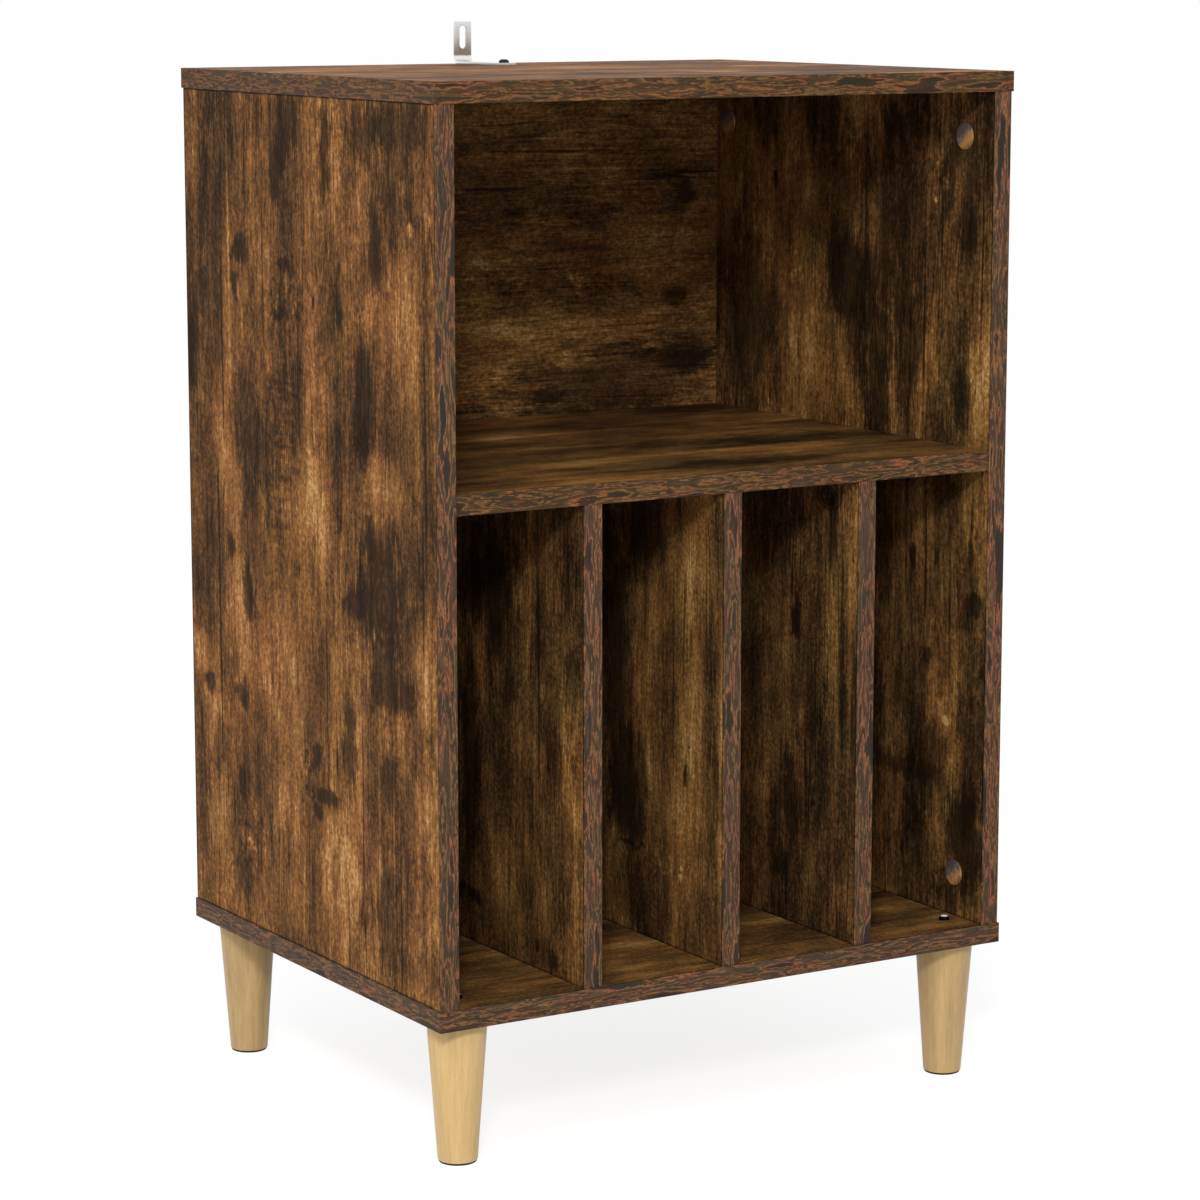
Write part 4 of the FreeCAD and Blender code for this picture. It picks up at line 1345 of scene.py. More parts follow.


# Marks on the faces that the photograph shows. Some broad faint ones only even out the light on the inner
# faces, as painted light and painted shade
LEFT_SIDE_MARKS = (
    Mark(-150, 735, 60, 22, -0.19),
    Mark(-108, 650, 9, 38, -0.25),
    Mark(-92, 730, 26, 22, -0.20),
    Mark(-34, 712, 9, 44, -0.26),
    Mark(30, 730, 30, 26, -0.25),
    Mark(44, 696, 11, 26, -0.25),
    Mark(102, 635, 19, 12, -0.32),
    Mark(114, 610, 8, 11, -0.23),
    Mark(108, 607, 4, 7, 0.26),
    Mark(-14, 602, 3, 6, -0.34),
    Mark(26, 604, 30, 36, 0.27, Kind.BURR),
    Mark(25, 627, 16, 6, -0.23),
    Mark(42, 592, 11, 6, -0.28),
    Mark(-92, 542, 18, 46, -0.28),
    Mark(-88, 507, 11, 16, -0.23),
    Mark(84, 512, 40, 70, -0.11),
    Mark(88, 446, 26, 90, -0.10),
    Mark(98, 378, 11, 28, -0.26),
    Mark(30, 522, 30, 50, -0.10, Kind.LADDER),
    Mark(38, 452, 30, 56, -0.09, Kind.LADDER),
    Mark(188, 550, 17, 40, -0.23),
    Mark(172, 600, 16, 22, -0.14),
    Mark(-48, 470, 9, 66, -0.14),
    Mark(-115, 442, 28, 22, -0.28),
    Mark(-117, 405, 36, 42, -0.32),
    Mark(-72, 394, 21, 14, -0.32),
    Mark(-92, 388, 18, 26, -0.20),
    Mark(-121, 350, 27, 40, -0.30),
    Mark(-150, 338, 21, 17, -0.24),
    Mark(-118, 396, 26, 36, 0.045, Kind.RINGS),
    Mark(126, 411, 7, 15, -0.30),
    Mark(168, 298, 12, 9, -0.32),
    Mark(152, 252, 10, 30, -0.22),
    Mark(110, 298, 15, 10, -0.31),
    Mark(-12, 270, 8, 12, -0.31),
    Mark(-28, 242, 19, 7, -0.30),
    Mark(-12, 228, 8, 9, -0.31),
    Mark(4, 246, 14, 34, 0.33, Kind.BURR),
    Mark(-66, 290, 11, 38, -0.22),
    Mark(-124, 272, 12, 26, -0.22),
    Mark(112, 225, 7, 13, -0.23),
    Mark(96, 192, 27, 36, -0.26, Kind.BURR),
    Mark(114, 160, 19, 30, -0.19),
    Mark(-122, 172, 22, 46, -0.16),
    Mark(-82, 166, 10, 16, -0.22),
    Mark(-174, 145, 32, 26, -0.14),
    Mark(-120, 706, 16, 24, 0.03, Kind.RINGS),
    Mark(182, 322, 18, 20, 0.26),
    Mark(190, 432, 16, 30, 0.14),
    Mark(-160, 664, 6, 7, 0.34),
    Mark(-36, 190, 50, 60, 0.06),
    Mark(36, 194, 34, 64, 0.18),
    Mark(-157, 478, 30, 42, 0.09),
    Mark(28, 392, 34, 40, 0.09),
    Mark(132, 300, 36, 92, 0.07),
    Mark(-158, 640, 34, 60, -0.07),
    Mark(-110, 296, 70, 66, -0.04),
    Mark(0, 456, 210, 42, 0.08),
    Mark(140, 470, 24, 50, 0.08),
    Mark(-76, 662, 74, 50, -0.09),
    Mark(30, 148, 46, 26, 0.08),
    Mark(44, 322, 58, 56, 0.13),
    Mark(-112, 488, 31, 22, 0.20),
    Mark(-160, 560, 36, 96, 0.07),
    Mark(-6, 420, 28, 78, 0.14),
    Mark(-172, 352, 18, 42, 0.17),
    Mark(-180, 500, 1.8, 90, -0.30, Kind.LINE),
    Mark(146, 350, 1.8, 120, -0.32, Kind.LINE),
    Mark(-176, 420, 1.7, 60, -0.30, Kind.LINE),
    Mark(136, 566, 1.6, 110, -0.26, Kind.LINE),
    Mark(94, 696, 1.5, 62, -0.24, Kind.LINE),
    Mark(66, 636, 1.5, 80, -0.22, Kind.LINE),
    Mark(-30, 330, 1.5, 84, -0.22, Kind.LINE),
    Mark(-84, 250, 1.6, 74, -0.24, Kind.LINE),
    Mark(-140, 186, 1.5, 60, -0.24, Kind.LINE),
    Mark(10, 560, 1.5, 90, -0.20, Kind.LINE),
    Mark(123, 660, 1.7, 90, 0.22, Kind.LINE),
    Mark(-130, 215, 1.6, 80, 0.23, Kind.LINE),
    Mark(-108, 225, 1.8, 70, 0.20, Kind.LINE),
)
RIGHT_INNER_MARKS = (
    # Painted shade: the two broad faint dark marks below darken the upper part of this face
    Mark(0, 640, 260, 170, -0.05),
    Mark(-62, 660, 92, 84, -0.06),
    Mark(124, 652, 46, 84, 0.19),
    Mark(56, 684, 34, 52, 0.20),
    Mark(-158, 694, 30, 60, -0.20),
    Mark(-92, 708, 24, 20, 0.12),
    Mark(-52, 602, 60, 42, -0.07),
    Mark(-90, 560, 30, 66, -0.16),
    Mark(-18, 562, 24, 42, -0.09),
    Mark(-180, 545, 16, 56, 0.17),
    Mark(-162, 520, 13, 30, -0.23),
    Mark(-122, 525, 14, 30, 0.06),
    Mark(-10, 600, 34, 36, -0.30),
    Mark(-52, 532, 19, 62, -0.26),
    Mark(-60, 640, 6, 70, -0.14),
    Mark(-167, 650, 17, 22, -0.23),
    Mark(-155, 676, 9, 28, 0.17),
    Mark(-125, 670, 3, 4, 0.40),
    Mark(-128, 685, 20, 28, -0.24, Kind.BURR),
    Mark(-67, 726, 16, 13, -0.25),
    Mark(-16, 710, 14, 26, -0.20, Kind.BURR),
    Mark(42, 722, 10, 20, -0.28),
    Mark(20, 664, 34, 22, 0.17),
    Mark(50, 568, 37, 92, 0.13),
    Mark(60, 606, 12, 26, -0.24, Kind.BURR),
    Mark(8, 524, 44, 30, 0.08),
    Mark(91, 675, 4, 8, -0.39),
    Mark(-34, 640, 1.6, 90, -0.24, Kind.LINE),
    Mark(-112, 566, 1.5, 84, -0.24, Kind.LINE),
    Mark(-184, 620, 1.5, 90, -0.24, Kind.LINE),
    Mark(128, 560, 42, 100, -0.22),
    Mark(104, 720, 20, 24, -0.15),
    Mark(-172, 180, 27, 34, -0.25),
    Mark(-130, 232, 22, 40, -0.22),
    Mark(-174, 184, 28, 44, -0.22),
    Mark(-160, 142, 40, 22, -0.14),
    Mark(-110, 428, 40, 26, 0.16),
    Mark(-172, 380, 20, 38, -0.16),
    Mark(-140, 142, 24, 14, -0.20, Kind.BURR),
    Mark(-147, 271, 6, 5, 0.34),
    Mark(-97, 225, 44, 11, -0.22),
    Mark(-102, 195, 11, 20, -0.17),
    Mark(-182, 364, 15, 10, -0.25),
    Mark(-166, 394, 9, 11, 0.37, Kind.BURR),
    Mark(-132, 395, 4, 7, -0.30),
    Mark(-102, 392, 5, 10, -0.32),
    Mark(-64, 392, 15, 60, -0.23),
    Mark(-122, 318, 5, 12, -0.23),
    Mark(-192, 313, 5, 7, -0.30),
    Mark(-118, 400, 1.5, 56, -0.28, Kind.LINE),
    Mark(-150, 346, 1.4, 70, -0.22, Kind.LINE),
    Mark(-130, 300, 40, 26, 0.09, Kind.BURR),
)
LEFT_DIVIDER_MARKS = (
    Mark(-62, 396, 44, 54, -0.21),
    Mark(-32, 250, 15, 90, -0.23),
    Mark(-117, 420, 28, 18, -0.17, Kind.BURR),
    Mark(-37, 155, 12, 8, -0.30),
    Mark(-19, 156, 5, 10, -0.23),
    Mark(-152, 131, 8, 11, -0.32),
    Mark(-129, 138, 3, 5, -0.32),
    Mark(-157, 350, 40, 84, -0.10),
    Mark(-156, 236, 36, 64, -0.11),
    Mark(-58, 192, 40, 50, 0.12),
    Mark(-84, 350, 42, 48, -0.13),
    Mark(-102, 214, 24, 32, 0.12),
    Mark(-100, 170, 56, 46, 0.07),
    Mark(-147, 272, 3, 3, -0.23),
    Mark(-132, 330, 1.5, 100, -0.24, Kind.LINE),
    Mark(-178, 355, 11, 13, -0.17),
)
CENTRE_DIVIDER_MARKS = (
    Mark(-87, 432, 38, 34, -0.29),
    Mark(-48, 322, 22, 120, -0.29),
    Mark(-62, 226, 30, 48, -0.32),
    Mark(-95, 250, 5, 34, 0.22),
    Mark(-128, 320, 1.5, 96, -0.24, Kind.LINE),
    Mark(-172, 400, 1.4, 60, -0.22, Kind.LINE),
    Mark(-144, 254, 4, 9, -0.42),
    Mark(-151, 277, 2, 2, -0.34),
    Mark(-118, 180, 36, 8, -0.34, Kind.BURR),
    Mark(-70, 188, 26, 2.4, -0.26),
    Mark(-158, 392, 36, 56, 0.14),
    Mark(-144, 220, 34, 70, 0.05),
    Mark(-193, 250, 5, 110, 0.26),
    Mark(-68, 150, 24, 28, -0.17),
)
RIGHT_DIVIDER_MARKS = (
    Mark(-157, 455, 19, 11, -0.20),
    Mark(-157, 455, 22, 14, 0.09, Kind.RINGS),
    Mark(-162, 428, 8, 34, -0.23),
    Mark(-117, 358, 9, 13, -0.30),
    Mark(-110, 214, 12, 44, -0.22),
    Mark(-98, 162, 12, 20, -0.23),
    Mark(-185, 320, 3.5, 100, 0.20, Kind.LINE),
    Mark(-176, 330, 2.5, 90, -0.17, Kind.LINE),
    Mark(-169, 300, 3, 90, 0.17, Kind.LINE),
    Mark(-152, 312, 4, 4, -0.28),
    Mark(-122, 286, 4, 10, 0.23),
    Mark(-94, 428, 26, 42, -0.14),
    Mark(-74, 374, 22, 76, 0.16),
    Mark(-166, 174, 24, 26, -0.10),
    Mark(-162, 400, 28, 62, -0.09),
    Mark(-104, 196, 28, 64, -0.07),
    Mark(-139, 220, 4, 3, -0.25),
)
BACK_MARKS = (
    Mark(506, 130, 36, 120, -0.24),
    Mark(655, 105, 34, 24, -0.08),
    Mark(726, 0, 24, 50, 0.10),
    Mark(612, 180, 30, 66, 0.18),
    Mark(616, 6, 20, 50, 0.08),
    Mark(650, 6, 20, 50, -0.05),
    Mark(697, 75, 1.2, 60, -0.28, Kind.LINE),
    Mark(668, 8, 1.1, 36, -0.25, Kind.LINE),
    Mark(682, 110, 1.0, 60, 0.14, Kind.LINE),
    Mark(660, 199, 16, 11, -0.30),
    Mark(598, 20, 24, 44, 0.20, Kind.BURR),
    Mark(590, 92, 13, 19, -0.34, Kind.BURR),
    Mark(594, 150, 20, 30, 0.20, Kind.BURR),
    Mark(575, 188, 9, 14, -0.26),
    Mark(556, 60, 10, 88, 0.20),
    Mark(534, 167, 3, 5, -0.34),
    Mark(528, 198, 15, 34, -0.23),
    Mark(527, 60, 7, 80, 0.12),
    Mark(500, 66, 7, 16, -0.23),
    Mark(630, -120, 40, 70, -0.20),
    Mark(560, -150, 22, 60, 0.20, Kind.BURR),
    # Painted light: the broad pale mark below and the last pale one lighten the shade on the back in the
    # lower slots
    Mark(300, 0, 170, 250, 0.12),
    Mark(320, -60, 36, 60, -0.16),
    Mark(250, 90, 40, 110, 0.14),
)
SHELF_MARKS = (
    Mark(10, 60, 84, 110, -0.07),
    Mark(-42, 136, 36, 64, -0.28),
    Mark(56, -20, 46, 56, 0.20),
    Mark(130, -110, 56, 130, 0.10),
    Mark(-120, -120, 60, 100, 0.10),
    Mark(-150, 40, 16, 90, -0.16),
    Mark(-30, 150, 60, 60, 0.07),
    Mark(60, -60, 9, 70, 0.14),
    Mark(-70, 90, 12, 60, -0.14),
    Mark(150, 190, 24, 40, -0.20),
)
TOP_MARKS = (
    Mark(-97, -35, 28, 58, -0.22),
    Mark(50, -130, 28, 66, 0.12),
    Mark(-5, -220, 38, 24, 0.17),
    Mark(125, 80, 26, 130, -0.16),
    Mark(-95, 55, 17, 22, 0.17),
    Mark(-72, 115, 15, 36, -0.17),
    Mark(165, -75, 17, 50, 0.12),
)


@dataclass
class EdgeBanding:
    """The edge bands of the boards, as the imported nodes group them."""

    level: Tuple[str, ...] = ("top_panel_edge_bands", "bottom_panel_edge_bands", "middle_shelf_edge_band")
    upright: Tuple[str, ...] = (
        "left_side_edge_bands",
        "right_side_edge_bands",
        "left_divider_edge_band",
        "centre_divider_edge_band",
        "right_divider_edge_band",
    )
    shaded: Tuple[str, ...] = ("top_panel_edge_bands", "middle_shelf_edge_band")
    rust: Stops = ((0.0, (250, 233, 226)), (1.0, (240, 243, 223)))
    olive: Stops = ((0.0, (240, 220, 196)), (1.0, (226, 226, 190)))

    def build(self) -> None:
        """Dress every band."""
        runs = [(name, BandRun.LEVEL) for name in self.level]
        runs += [(name, BandRun.UPRIGHT) for name in self.upright]
        for seed, (name, run) in enumerate(runs, 1):
            cast = self.olive if name in self.shaded else self.rust
            dress(name, BarkBand(name, run, float(seed), cast).material())


@dataclass(frozen=True)
class LegPlace:
    """The corner that a leg stands at, the way to it along X and Y, and the tone of its wood, which is
    painted light and painted shade: paler on the front left leg, darker on the others.
    """

    corner: str
    side: int
    end: int
    tone: float


@dataclass
class LegSet:
    """Four tapered legs, each with a pad under its foot. Lengths in millimetres."""

    pad_height: float = 1.5
    pad_radius: float = 13.7
    pad_rounding: float = 0.4
    pad_top_rounding: float = 0.1
    top: float = UNDER_BOTTOM
    foot_radius: float = 14.4
    foot_rounding: float = 0.7
    head_radius: float = 22.0
    head_rounding: float = 0.4
    seat_radius: float = 4.1
    seat_depth: float = 15.1
    leg_segments: int = 96
    places: Tuple[LegPlace, ...] = (
        # The tones below are painted light and painted shade: the front left leg paler, the front right
        # and rear legs darker
        LegPlace("front_left", -1, -1, 0.6),
        LegPlace("front_right", 1, -1, 0.36),
        LegPlace("rear_left", -1, 1, 0.31),
        LegPlace("rear_right", 1, 1, 0.36),
    )

    def leg(self) -> Turned:
        """The shape of a leg about its own axis.

        Returns:
            The turned shape, open where the threaded insert sits.
        """
        seat_foot = self.top - self.seat_depth
        corners = (
            Corner(0.0, self.pad_height),
            Corner(self.foot_radius, self.pad_height, self.foot_rounding),
            Corner(self.head_radius, self.top, self.head_rounding),
            Corner(self.seat_radius, self.top),
            Corner(self.seat_radius, seat_foot),
            Corner(0.0, seat_foot),
        )
        return Turned(corners, self.leg_segments)

    def pad(self) -> Turned:
        """The shape of a floor pad.

        Returns:
            The turned shape.
        """
        corners = (
            Corner(0.0, 0.0),
            Corner(self.pad_radius, 0.0, self.pad_rounding),
            Corner(self.pad_radius, self.pad_height, self.pad_top_rounding),
            Corner(0.0, self.pad_height),
        )
        return Turned(corners, self.leg_segments)

    def build(self) -> None:
        """Grow and dress the legs and pads."""
        rubber = RUBBER.material()
        for place in self.places:
            corner = place.corner
            wood = LegWood(f"{corner}_leg_wood_painted_light_and_shade", place.tone).material()
            seats = Seats((place.side * LEG_ACROSS, place.end * LEG_DEEP, 0.0))
            leg = TurnedTree(f"turned_{corner}_leg", self.leg(), seats, wood).build()
            settle(leg, f"{corner}_leg")
            pad = TurnedTree(f"moulded_{corner}_foot_pad", self.pad(), seats, rubber).build()
            settle(pad, f"{corner}_foot_pad")


@dataclass
class Fittings:
    """The cam locks, bolts, dowels, caps and screws that hold the boards. Lengths in millimetres."""

    dowel_deep: float = 128.5
    joint: float = INNER_SIDE + BOARD / 2
    shelf_cam: float = 195.0
    bracket_screw_seat: Tuple[float, float, float] = (0.0, 131.1, 769.0)

    def corners(self, x: float, y: float, low: float, high: float, axis: Aim,
                key: Aim = Aim.ACROSS) -> Seats:
        """Seats at both sides, front and rear, at one level or two.

        Args:
            x: Half their spacing across.
            y: Half their spacing from front to rear.
            low: The lower level.
            high: The upper level, or the same one.
            axis: Where their axes point.
            key: Where their own X axes point.

        Returns:
            The seats.
        """
        layers = 2 if high > low else 1
        return Seats((-x, -y, low), (2 * x, 2 * y, high - low), (2, 2, layers), axis, key)

    def dividers(self, level: float, axis: Aim) -> Seats:
        """Seats at one end of the dividers, front and rear."""
        first = (-DIVIDER_PITCH, -self.dowel_deep, level)
        return Seats(first, (DIVIDER_PITCH, 2 * self.dowel_deep, 0.0), (3, 2, 1), axis)

    @staticmethod
    def leg_bolt() -> Turned:
        """A bolt with a crowned head above its seat and a socket in it.

        Returns:
            The turned shape.
        """
        length, shank, head, rim, crown, height = 27.0, 2.5, 4.2, 1.2, 2.9, 2.9
        corners = (
            Corner(0.0, -length),
            Corner(shank, -length, 0.5),
            Corner(shank, 0.0),
            Corner(head, 0.0, 0.15),
            Corner(head, rim, 0.3),
            Corner(crown, height, 0.6),
            Corner(0.0, height),
        )
        return Turned(corners, segments=48, socket=HexSocket(height, radius=2.7, depth=1.7))

    @staticmethod
    def bracket_screw() -> Turned:
        """A screw with a domed head above its seat and a driver cross.

        Returns:
            The turned shape.
        """
        length, shank, head, height = 14.0, 2.0, 4.1, 2.7
        corners = (
            Corner(0.0, -length),
            Corner(shank, -length, 0.5),
            Corner(shank, 0.0),
            Corner(head, 0.0, 0.15),
            Corner(head, height, 2.4),
            Corner(0.0, height),
        )
        return Turned(corners, segments=48, cross=Cross(height, span=4.2, width=0.9, depth=1.5))

    @staticmethod
    def cam_lock() -> Turned:
        """A cam lock with its face at the seat and its bolt recess towards +X.

        Returns:
            The turned shape.
        """
        depth, radius = 12.4, 7.5
        corners = (
            Corner(0.0, -depth), Corner(radius, -depth, 0.4), Corner(radius, 0.0, 0.3), Corner(0.0, 0.0)
        )
        cross = Cross(0.0, span=9.0, width=1.6, depth=2.2)
        bore = SideBore(-BOARD / 2, radius=3.4, start=-3.0, length=12.5)
        return Turned(corners, segments=48, cross=cross, bore=bore)

    @staticmethod
    def cam_bolt() -> Turned:
        """A cam bolt with its thread below the seat, and its neck and head above.

        Returns:
            The turned shape.
        """
        thread, shank, neck, head = 2.5, 3.0, 1.7, 3.3
        depth, shoulder, head_foot, end = 11.0, 28.0, 32.0, 36.0
        corners = (
            Corner(0.0, -depth),
            Corner(thread, -depth, 0.6),
            Corner(thread, 0.0),
            Corner(shank, 0.0, 0.2),
            Corner(shank, shoulder, 0.3),
            Corner(neck, shoulder, 0.3),
            Corner(neck, head_foot, 0.3),
            Corner(head, head_foot, 0.4),
            Corner(head, end, 0.6),
            Corner(0.0, end),
        )
        return Turned(corners)

    @staticmethod
    def dowel() -> Turned:
        """A fluted dowel with its joint at the seat.

        Returns:
            The turned shape.
        """
        short, long, radius, chamfer = 10.0, 20.0, 4.0, 1.0
        corners = (
            Corner(0.0, -short),
            Corner(radius - chamfer, -short),
            Corner(radius, chamfer - short),
            Corner(radius, long - chamfer),
            Corner(radius - chamfer, long),
            Corner(0.0, long),
        )
        return Turned(corners, segments=72, flutes=18, flute_depth=0.35)

    @staticmethod
    def divider_screw() -> Turned:
        """A countersunk screw whose head is flush with the seat.

        Returns:
            The turned shape.
        """
        head, neck, thread = 5.0, 3.5, 2.5
        sink, collar, taper, tip = 1.5, 15.0, 46.0, 50.0
        corners = (
            Corner(0.0, 0.0),
            Corner(head, 0.0, 0.15),
            Corner(neck, sink, 0.3),
            Corner(neck, collar, 0.2),
            Corner(thread, collar, 0.2),
            Corner(thread, taper, 0.6),
            Corner(0.0, tip),
        )
        return Turned(corners, segments=48, cross=Cross(0.0, span=4.6, width=1.0, depth=1.5))

    @staticmethod
    def cover_cap() -> Turned:
        """A thin cap on a board's face.

        Returns:
            The turned shape.
        """
        radius, height = 10.0, 1.0
        corners = (Corner(0.0, 0.0), Corner(radius, 0.0), Corner(radius, height, 0.5), Corner(0.0, height))
        return Turned(corners, segments=64)

    @staticmethod
    def insert() -> Turned:
        """A threaded sleeve with its upper end at the seat.

        Returns:
            The turned shape.
        """
        depth, radius, bore = 15.0, 4.0, 2.6
        corners = (
            Corner(bore, -depth),
            Corner(radius, -depth, 0.3),
            Corner(radius, 0.0, 0.3),
            Corner(bore, 0.0, 0.2),
            Corner(bore, -depth),
        )
        return Turned(corners, segments=48)

    def build(self) -> None:
        """Grow every group of like fittings and put it in its node's place."""
        zinc, beech, black = ZINC.material(), BEECH.material(), BLACK_SCREW.material()
        foil, brass = CapFoil().material(), BRASS.material()
        inward, upward, low, foot = Aim.INWARD, Aim.UP, UNDER_SHELF, UNDER_BOTTOM
        ends = (ON_BOTTOM, UNDER_TOP, Aim.TO_MID_HEIGHT)
        shelf_end = (low + BOARD / 2, low + BOARD / 2, inward, upward)
        into_side = self.corners(self.joint, CAM_DEEP, *ends)
        beside = self.corners(self.joint, self.dowel_deep, *ends)
        on_side = self.corners(INNER_SIDE, CAM_DEEP, CAM_LOW, CAM_HIGH, inward, Aim.FROM_MID_HEIGHT)
        in_shelf = self.corners(self.shelf_cam, CAM_DEEP, low, low, Aim.DOWN, Aim.OUTWARD)
        cam_end = self.corners(INNER_SIDE, CAM_DEEP, *shelf_end)
        dowel_end = self.corners(INNER_SIDE, self.dowel_deep, *shelf_end)
        over_dividers = self.dividers(low, Aim.DOWN)
        under_dividers = self.dividers(foot, upward)
        in_legs = self.corners(LEG_ACROSS, LEG_DEEP, foot, foot, upward)
        over_legs = self.corners(LEG_ACROSS, LEG_DEEP, ON_BOTTOM, ON_BOTTOM, upward)
        on_bracket = Seats(self.bracket_screw_seat)
        groups = (
            ("side_cam_locks", self.cam_lock(), on_side, zinc, "fitting_zinc"),
            ("side_cam_bolts", self.cam_bolt(), into_side, zinc, "fitting_zinc"),
            ("side_dowels", self.dowel(), beside, beech, "dowel_wood"),
            ("cam_cover_caps", self.cover_cap(), on_side, foil, "cap_foil"),
            ("shelf_cam_locks", self.cam_lock(), in_shelf, zinc, "fitting_zinc"),
            ("shelf_cam_bolts", self.cam_bolt(), cam_end, zinc, "fitting_zinc"),
            ("shelf_dowels", self.dowel(), dowel_end, beech, "dowel_wood"),
            ("divider_dowels", self.dowel(), over_dividers, beech, "dowel_wood"),
            ("divider_screws", self.divider_screw(), under_dividers, zinc, "fitting_zinc"),
            ("leg_threaded_inserts", self.insert(), in_legs, brass, "insert_brass"),
            ("leg_bolts", self.leg_bolt(), over_legs, SocketBolt().material(), "screw_black"),
            ("bracket_screw", self.bracket_screw(), on_bracket, black, "screw_black"),
        )
        for node, shape, seats, material, slot in groups:
            settle(TurnedTree(f"turned_{node}", shape, seats, material).build(), node)


@dataclass
class WallBracket:
    """The bent steel strap, with its sharp edges softened. Lengths in millimetres."""

    edge_softening: float = 0.3
    edge_steps: int = 2
    sharp: float = math.radians(35)
    flat: float = math.radians(1)

    def build(self) -> None:
        """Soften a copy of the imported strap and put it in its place."""
        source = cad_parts["anti_tip_bracket"]
        shape = bmesh.new()
        shape.from_mesh(source.data)
        bmesh.ops.remove_doubles(shape, verts=shape.verts[:], dist=WELD)
        bmesh.ops.dissolve_limit(shape, angle_limit=self.flat, verts=shape.verts[:], edges=shape.edges[:])
        edges = [e for e in shape.edges if len(e.link_faces) == 2 and e.calc_face_angle(0.0) > self.sharp]
        softened = bmesh.ops.bevel(
            shape, geom=edges, offset=self.edge_softening * MILLIMETRE, segments=self.edge_steps,
            profile=0.5, affect="EDGES", clamp_overlap=True,
        )
        strips = set(softened["faces"])
        for face in shape.faces:
            face.smooth = True
        for edge in shape.edges:
            on_strip = [face in strips for face in edge.link_faces]
            edge.smooth = all(on_strip) or not any(on_strip)
        mesh = bpy.data.meshes.new("bent_wall_bracket")
        shape.to_mesh(mesh)
        shape.free()
        if "custom_normal" in mesh.attributes:
            mesh.attributes.remove(mesh.attributes["custom_normal"])
        mesh.materials.append(PlatedSteelWithPaintedReflection().material())
        piece = bpy.data.objects.new("bent_wall_bracket", mesh)
        bpy.context.scene.collection.objects.link(piece)
        settle(piece, "anti_tip_bracket")


@dataclass(frozen=True)
class Lamp:
    """A soft square lamp: where it hangs and its side in metres, and its power in watts."""

    name: str
    spot: Tuple[float, float, float]
    size: float
    power: float


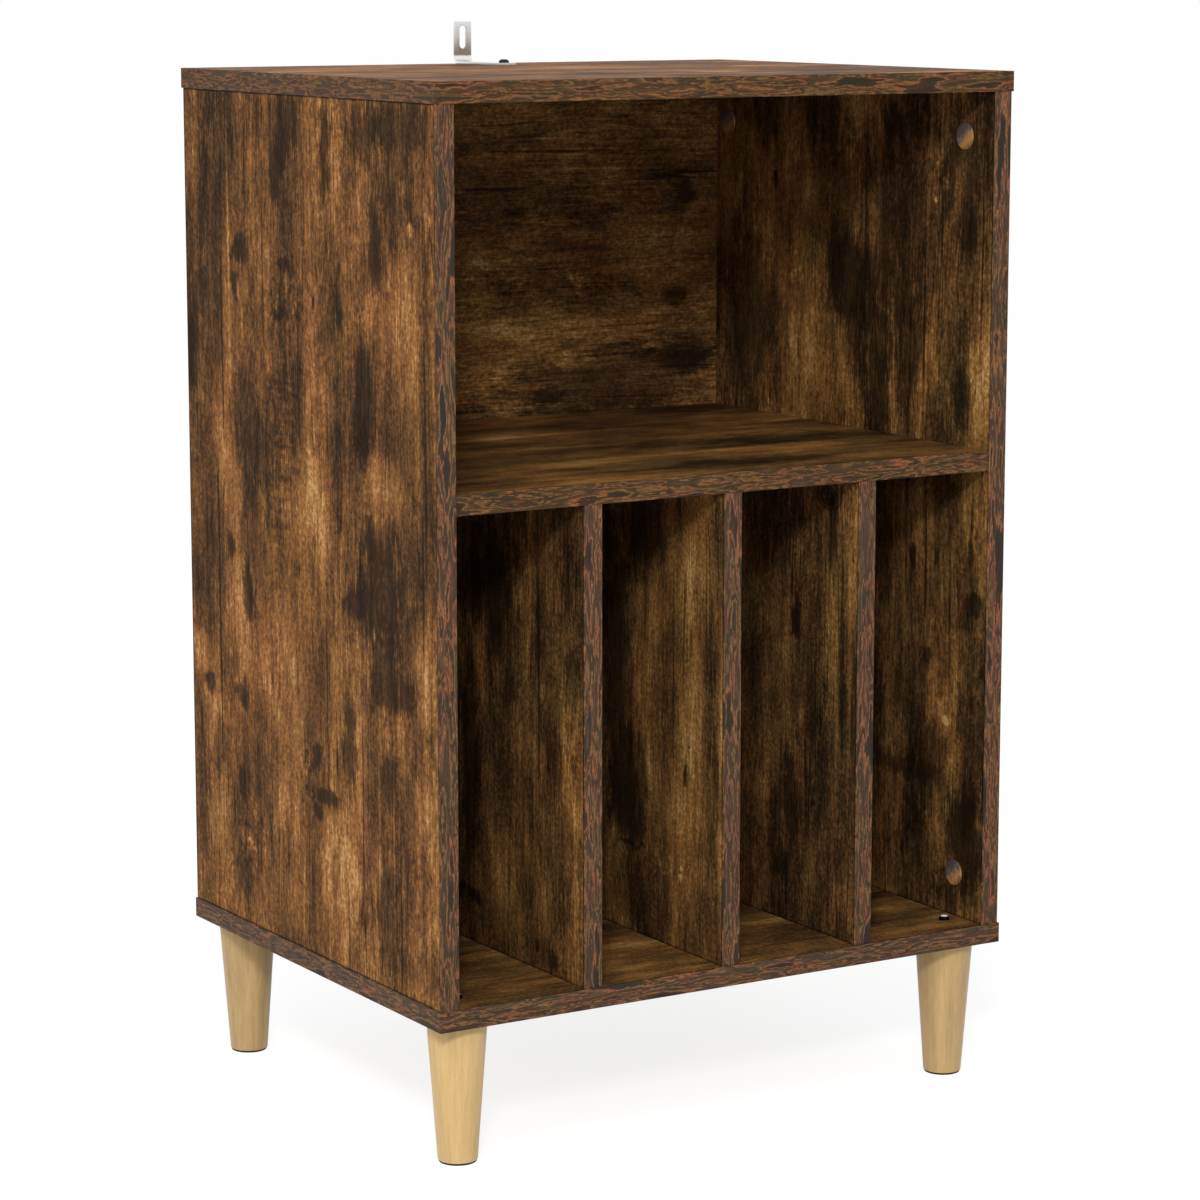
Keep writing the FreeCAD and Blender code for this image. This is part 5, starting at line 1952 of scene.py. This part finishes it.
@dataclass
class Studio:
    """A plain pale floor, soft lamps and the camera at the photograph's angle. Lengths in metres."""

    eye: Tuple[float, float, float] = (-1.4996, -2.4560, 0.8466)
    heading: float = math.radians(31.531)
    dip: float = math.radians(9.521)
    lens: float = 114.2
    film: float = 36.0
    far: float = 100.0
    floor_half: float = 12.0
    floor_grey: float = 0.34
    floor_glow: float = 0.83
    ambient: float = 0.52
    aim: Tuple[float, float, float] = (0.0, 0.0, 0.42)
    lamps: Tuple[Lamp, ...] = (
        Lamp("key", (-2.6, -1.6, 2.4), size=2.2, power=30.0),
        Lamp("front", (-1.9, -2.9, 2.2), size=0.5, power=60.0),
    )

    FLOOR_PALE = ((0.0, (226, 226, 226)), (1.0, (232, 232, 232)))

    def camera(self) -> None:
        """Set the camera."""
        data = bpy.data.cameras.new("camera")
        data.lens = self.lens
        data.sensor_width = self.film
        data.clip_end = self.far
        thing = bpy.data.objects.new("camera", data)
        thing.location = self.eye
        thing.rotation_euler = (math.pi / 2 - self.dip, 0.0, -self.heading)
        bpy.context.scene.collection.objects.link(thing)
        bpy.context.scene.camera = thing

    def seen(self, sheet: NodeSheet) -> Signal:
        """Whether a ray comes from the camera, a reflection or a clear body.

        Args:
            sheet: The node sheet that asks.

        Returns:
            1 for such a ray, or else 0.
        """
        path = sheet.place("ShaderNodeLightPath", {}, "Is Camera Ray")
        outputs = path.socket.node.outputs
        rays = [Signal(sheet, outputs[name]) for name in ("Is Glossy Ray", "Is Transmission Ray")]
        return sheet.combine("MAXIMUM", sheet.combine("MAXIMUM", path, rays[0]), rays[1])

    def floor(self) -> None:
        """Lay the floor: white where it is seen, with the object's soft shadow on it."""
        half = self.floor_half
        corners = [(-half, -half, 0.0), (half, -half, 0.0), (half, half, 0.0), (-half, half, 0.0)]
        mesh = bpy.data.meshes.new("floor")
        mesh.from_pydata(corners, [], [(0, 1, 2, 3)])
        sheet = FinishSheet("floor")
        speck = sheet.noise(sheet.spot(), (40.0, 40.0, 40.0))
        plain = sheet.place("ShaderNodeBsdfDiffuse", {"Color": sheet.ramp(speck + 0.5, self.FLOOR_PALE)})
        dim = sheet.place("ShaderNodeBsdfDiffuse", {"Color": (self.floor_grey,) * 3})
        glow = sheet.place("ShaderNodeEmission", {"Color": (1.0, 1.0, 1.0), "Strength": self.floor_glow})
        shown = sheet.place("ShaderNodeAddShader", {0: dim, 1: glow})
        sheet.place_output(sheet.place("ShaderNodeMixShader", {0: self.seen(sheet), 1: plain, 2: shown}))
        mesh.materials.append(sheet.material)
        thing = bpy.data.objects.new("floor", mesh)
        bpy.context.scene.collection.objects.link(thing)

    def world(self) -> None:
        """White where it is seen, and a plain soft light for the object."""
        world = bpy.data.worlds.new("studio")
        world.use_nodes = True
        sheet = NodeSheet(world.node_tree)
        sheet.tree.nodes.clear()
        level = self.seen(sheet) * (1.0 - self.ambient) + self.ambient
        light = sheet.place("ShaderNodeBackground", {"Color": (1.0, 1.0, 1.0), "Strength": level})
        node = sheet.tree.nodes.new("ShaderNodeOutputWorld")
        sheet.tree.links.new(light.socket, node.inputs["Surface"])
        bpy.context.scene.world = world

    def hang(self, lamp: Lamp) -> None:
        """Hang a lamp that points at the cabinet and isn't seen itself.

        Args:
            lamp: The lamp.
        """
        data = bpy.data.lights.new(lamp.name, "AREA")
        data.size = lamp.size
        data.energy = lamp.power
        thing = bpy.data.objects.new(lamp.name, data)
        thing.location = lamp.spot
        way = Vector(self.aim) - Vector(lamp.spot)
        thing.rotation_euler = way.to_track_quat("-Z", "Y").to_euler()
        thing.visible_camera = False
        thing.visible_glossy = False
        bpy.context.scene.collection.objects.link(thing)

    def build(self) -> None:
        """Set the stage."""
        scene = bpy.context.scene
        scene.view_settings.view_transform = "Standard"
        self.world()
        self.floor()
        for lamp in self.lamps:
            self.hang(lamp)
        self.camera()


def main() -> None:
    """Build the sub-assemblies in order."""
    logging.basicConfig(level=logging.INFO, format="%(name)s: %(message)s")
    for assembly in (Studio(), Carcass(), EdgeBanding(), LegSet(), Fittings(), WallBracket()):
        assembly.build()
        LOG.info("%s is built", type(assembly).__name__)


if __name__ == "__main__":
    main()
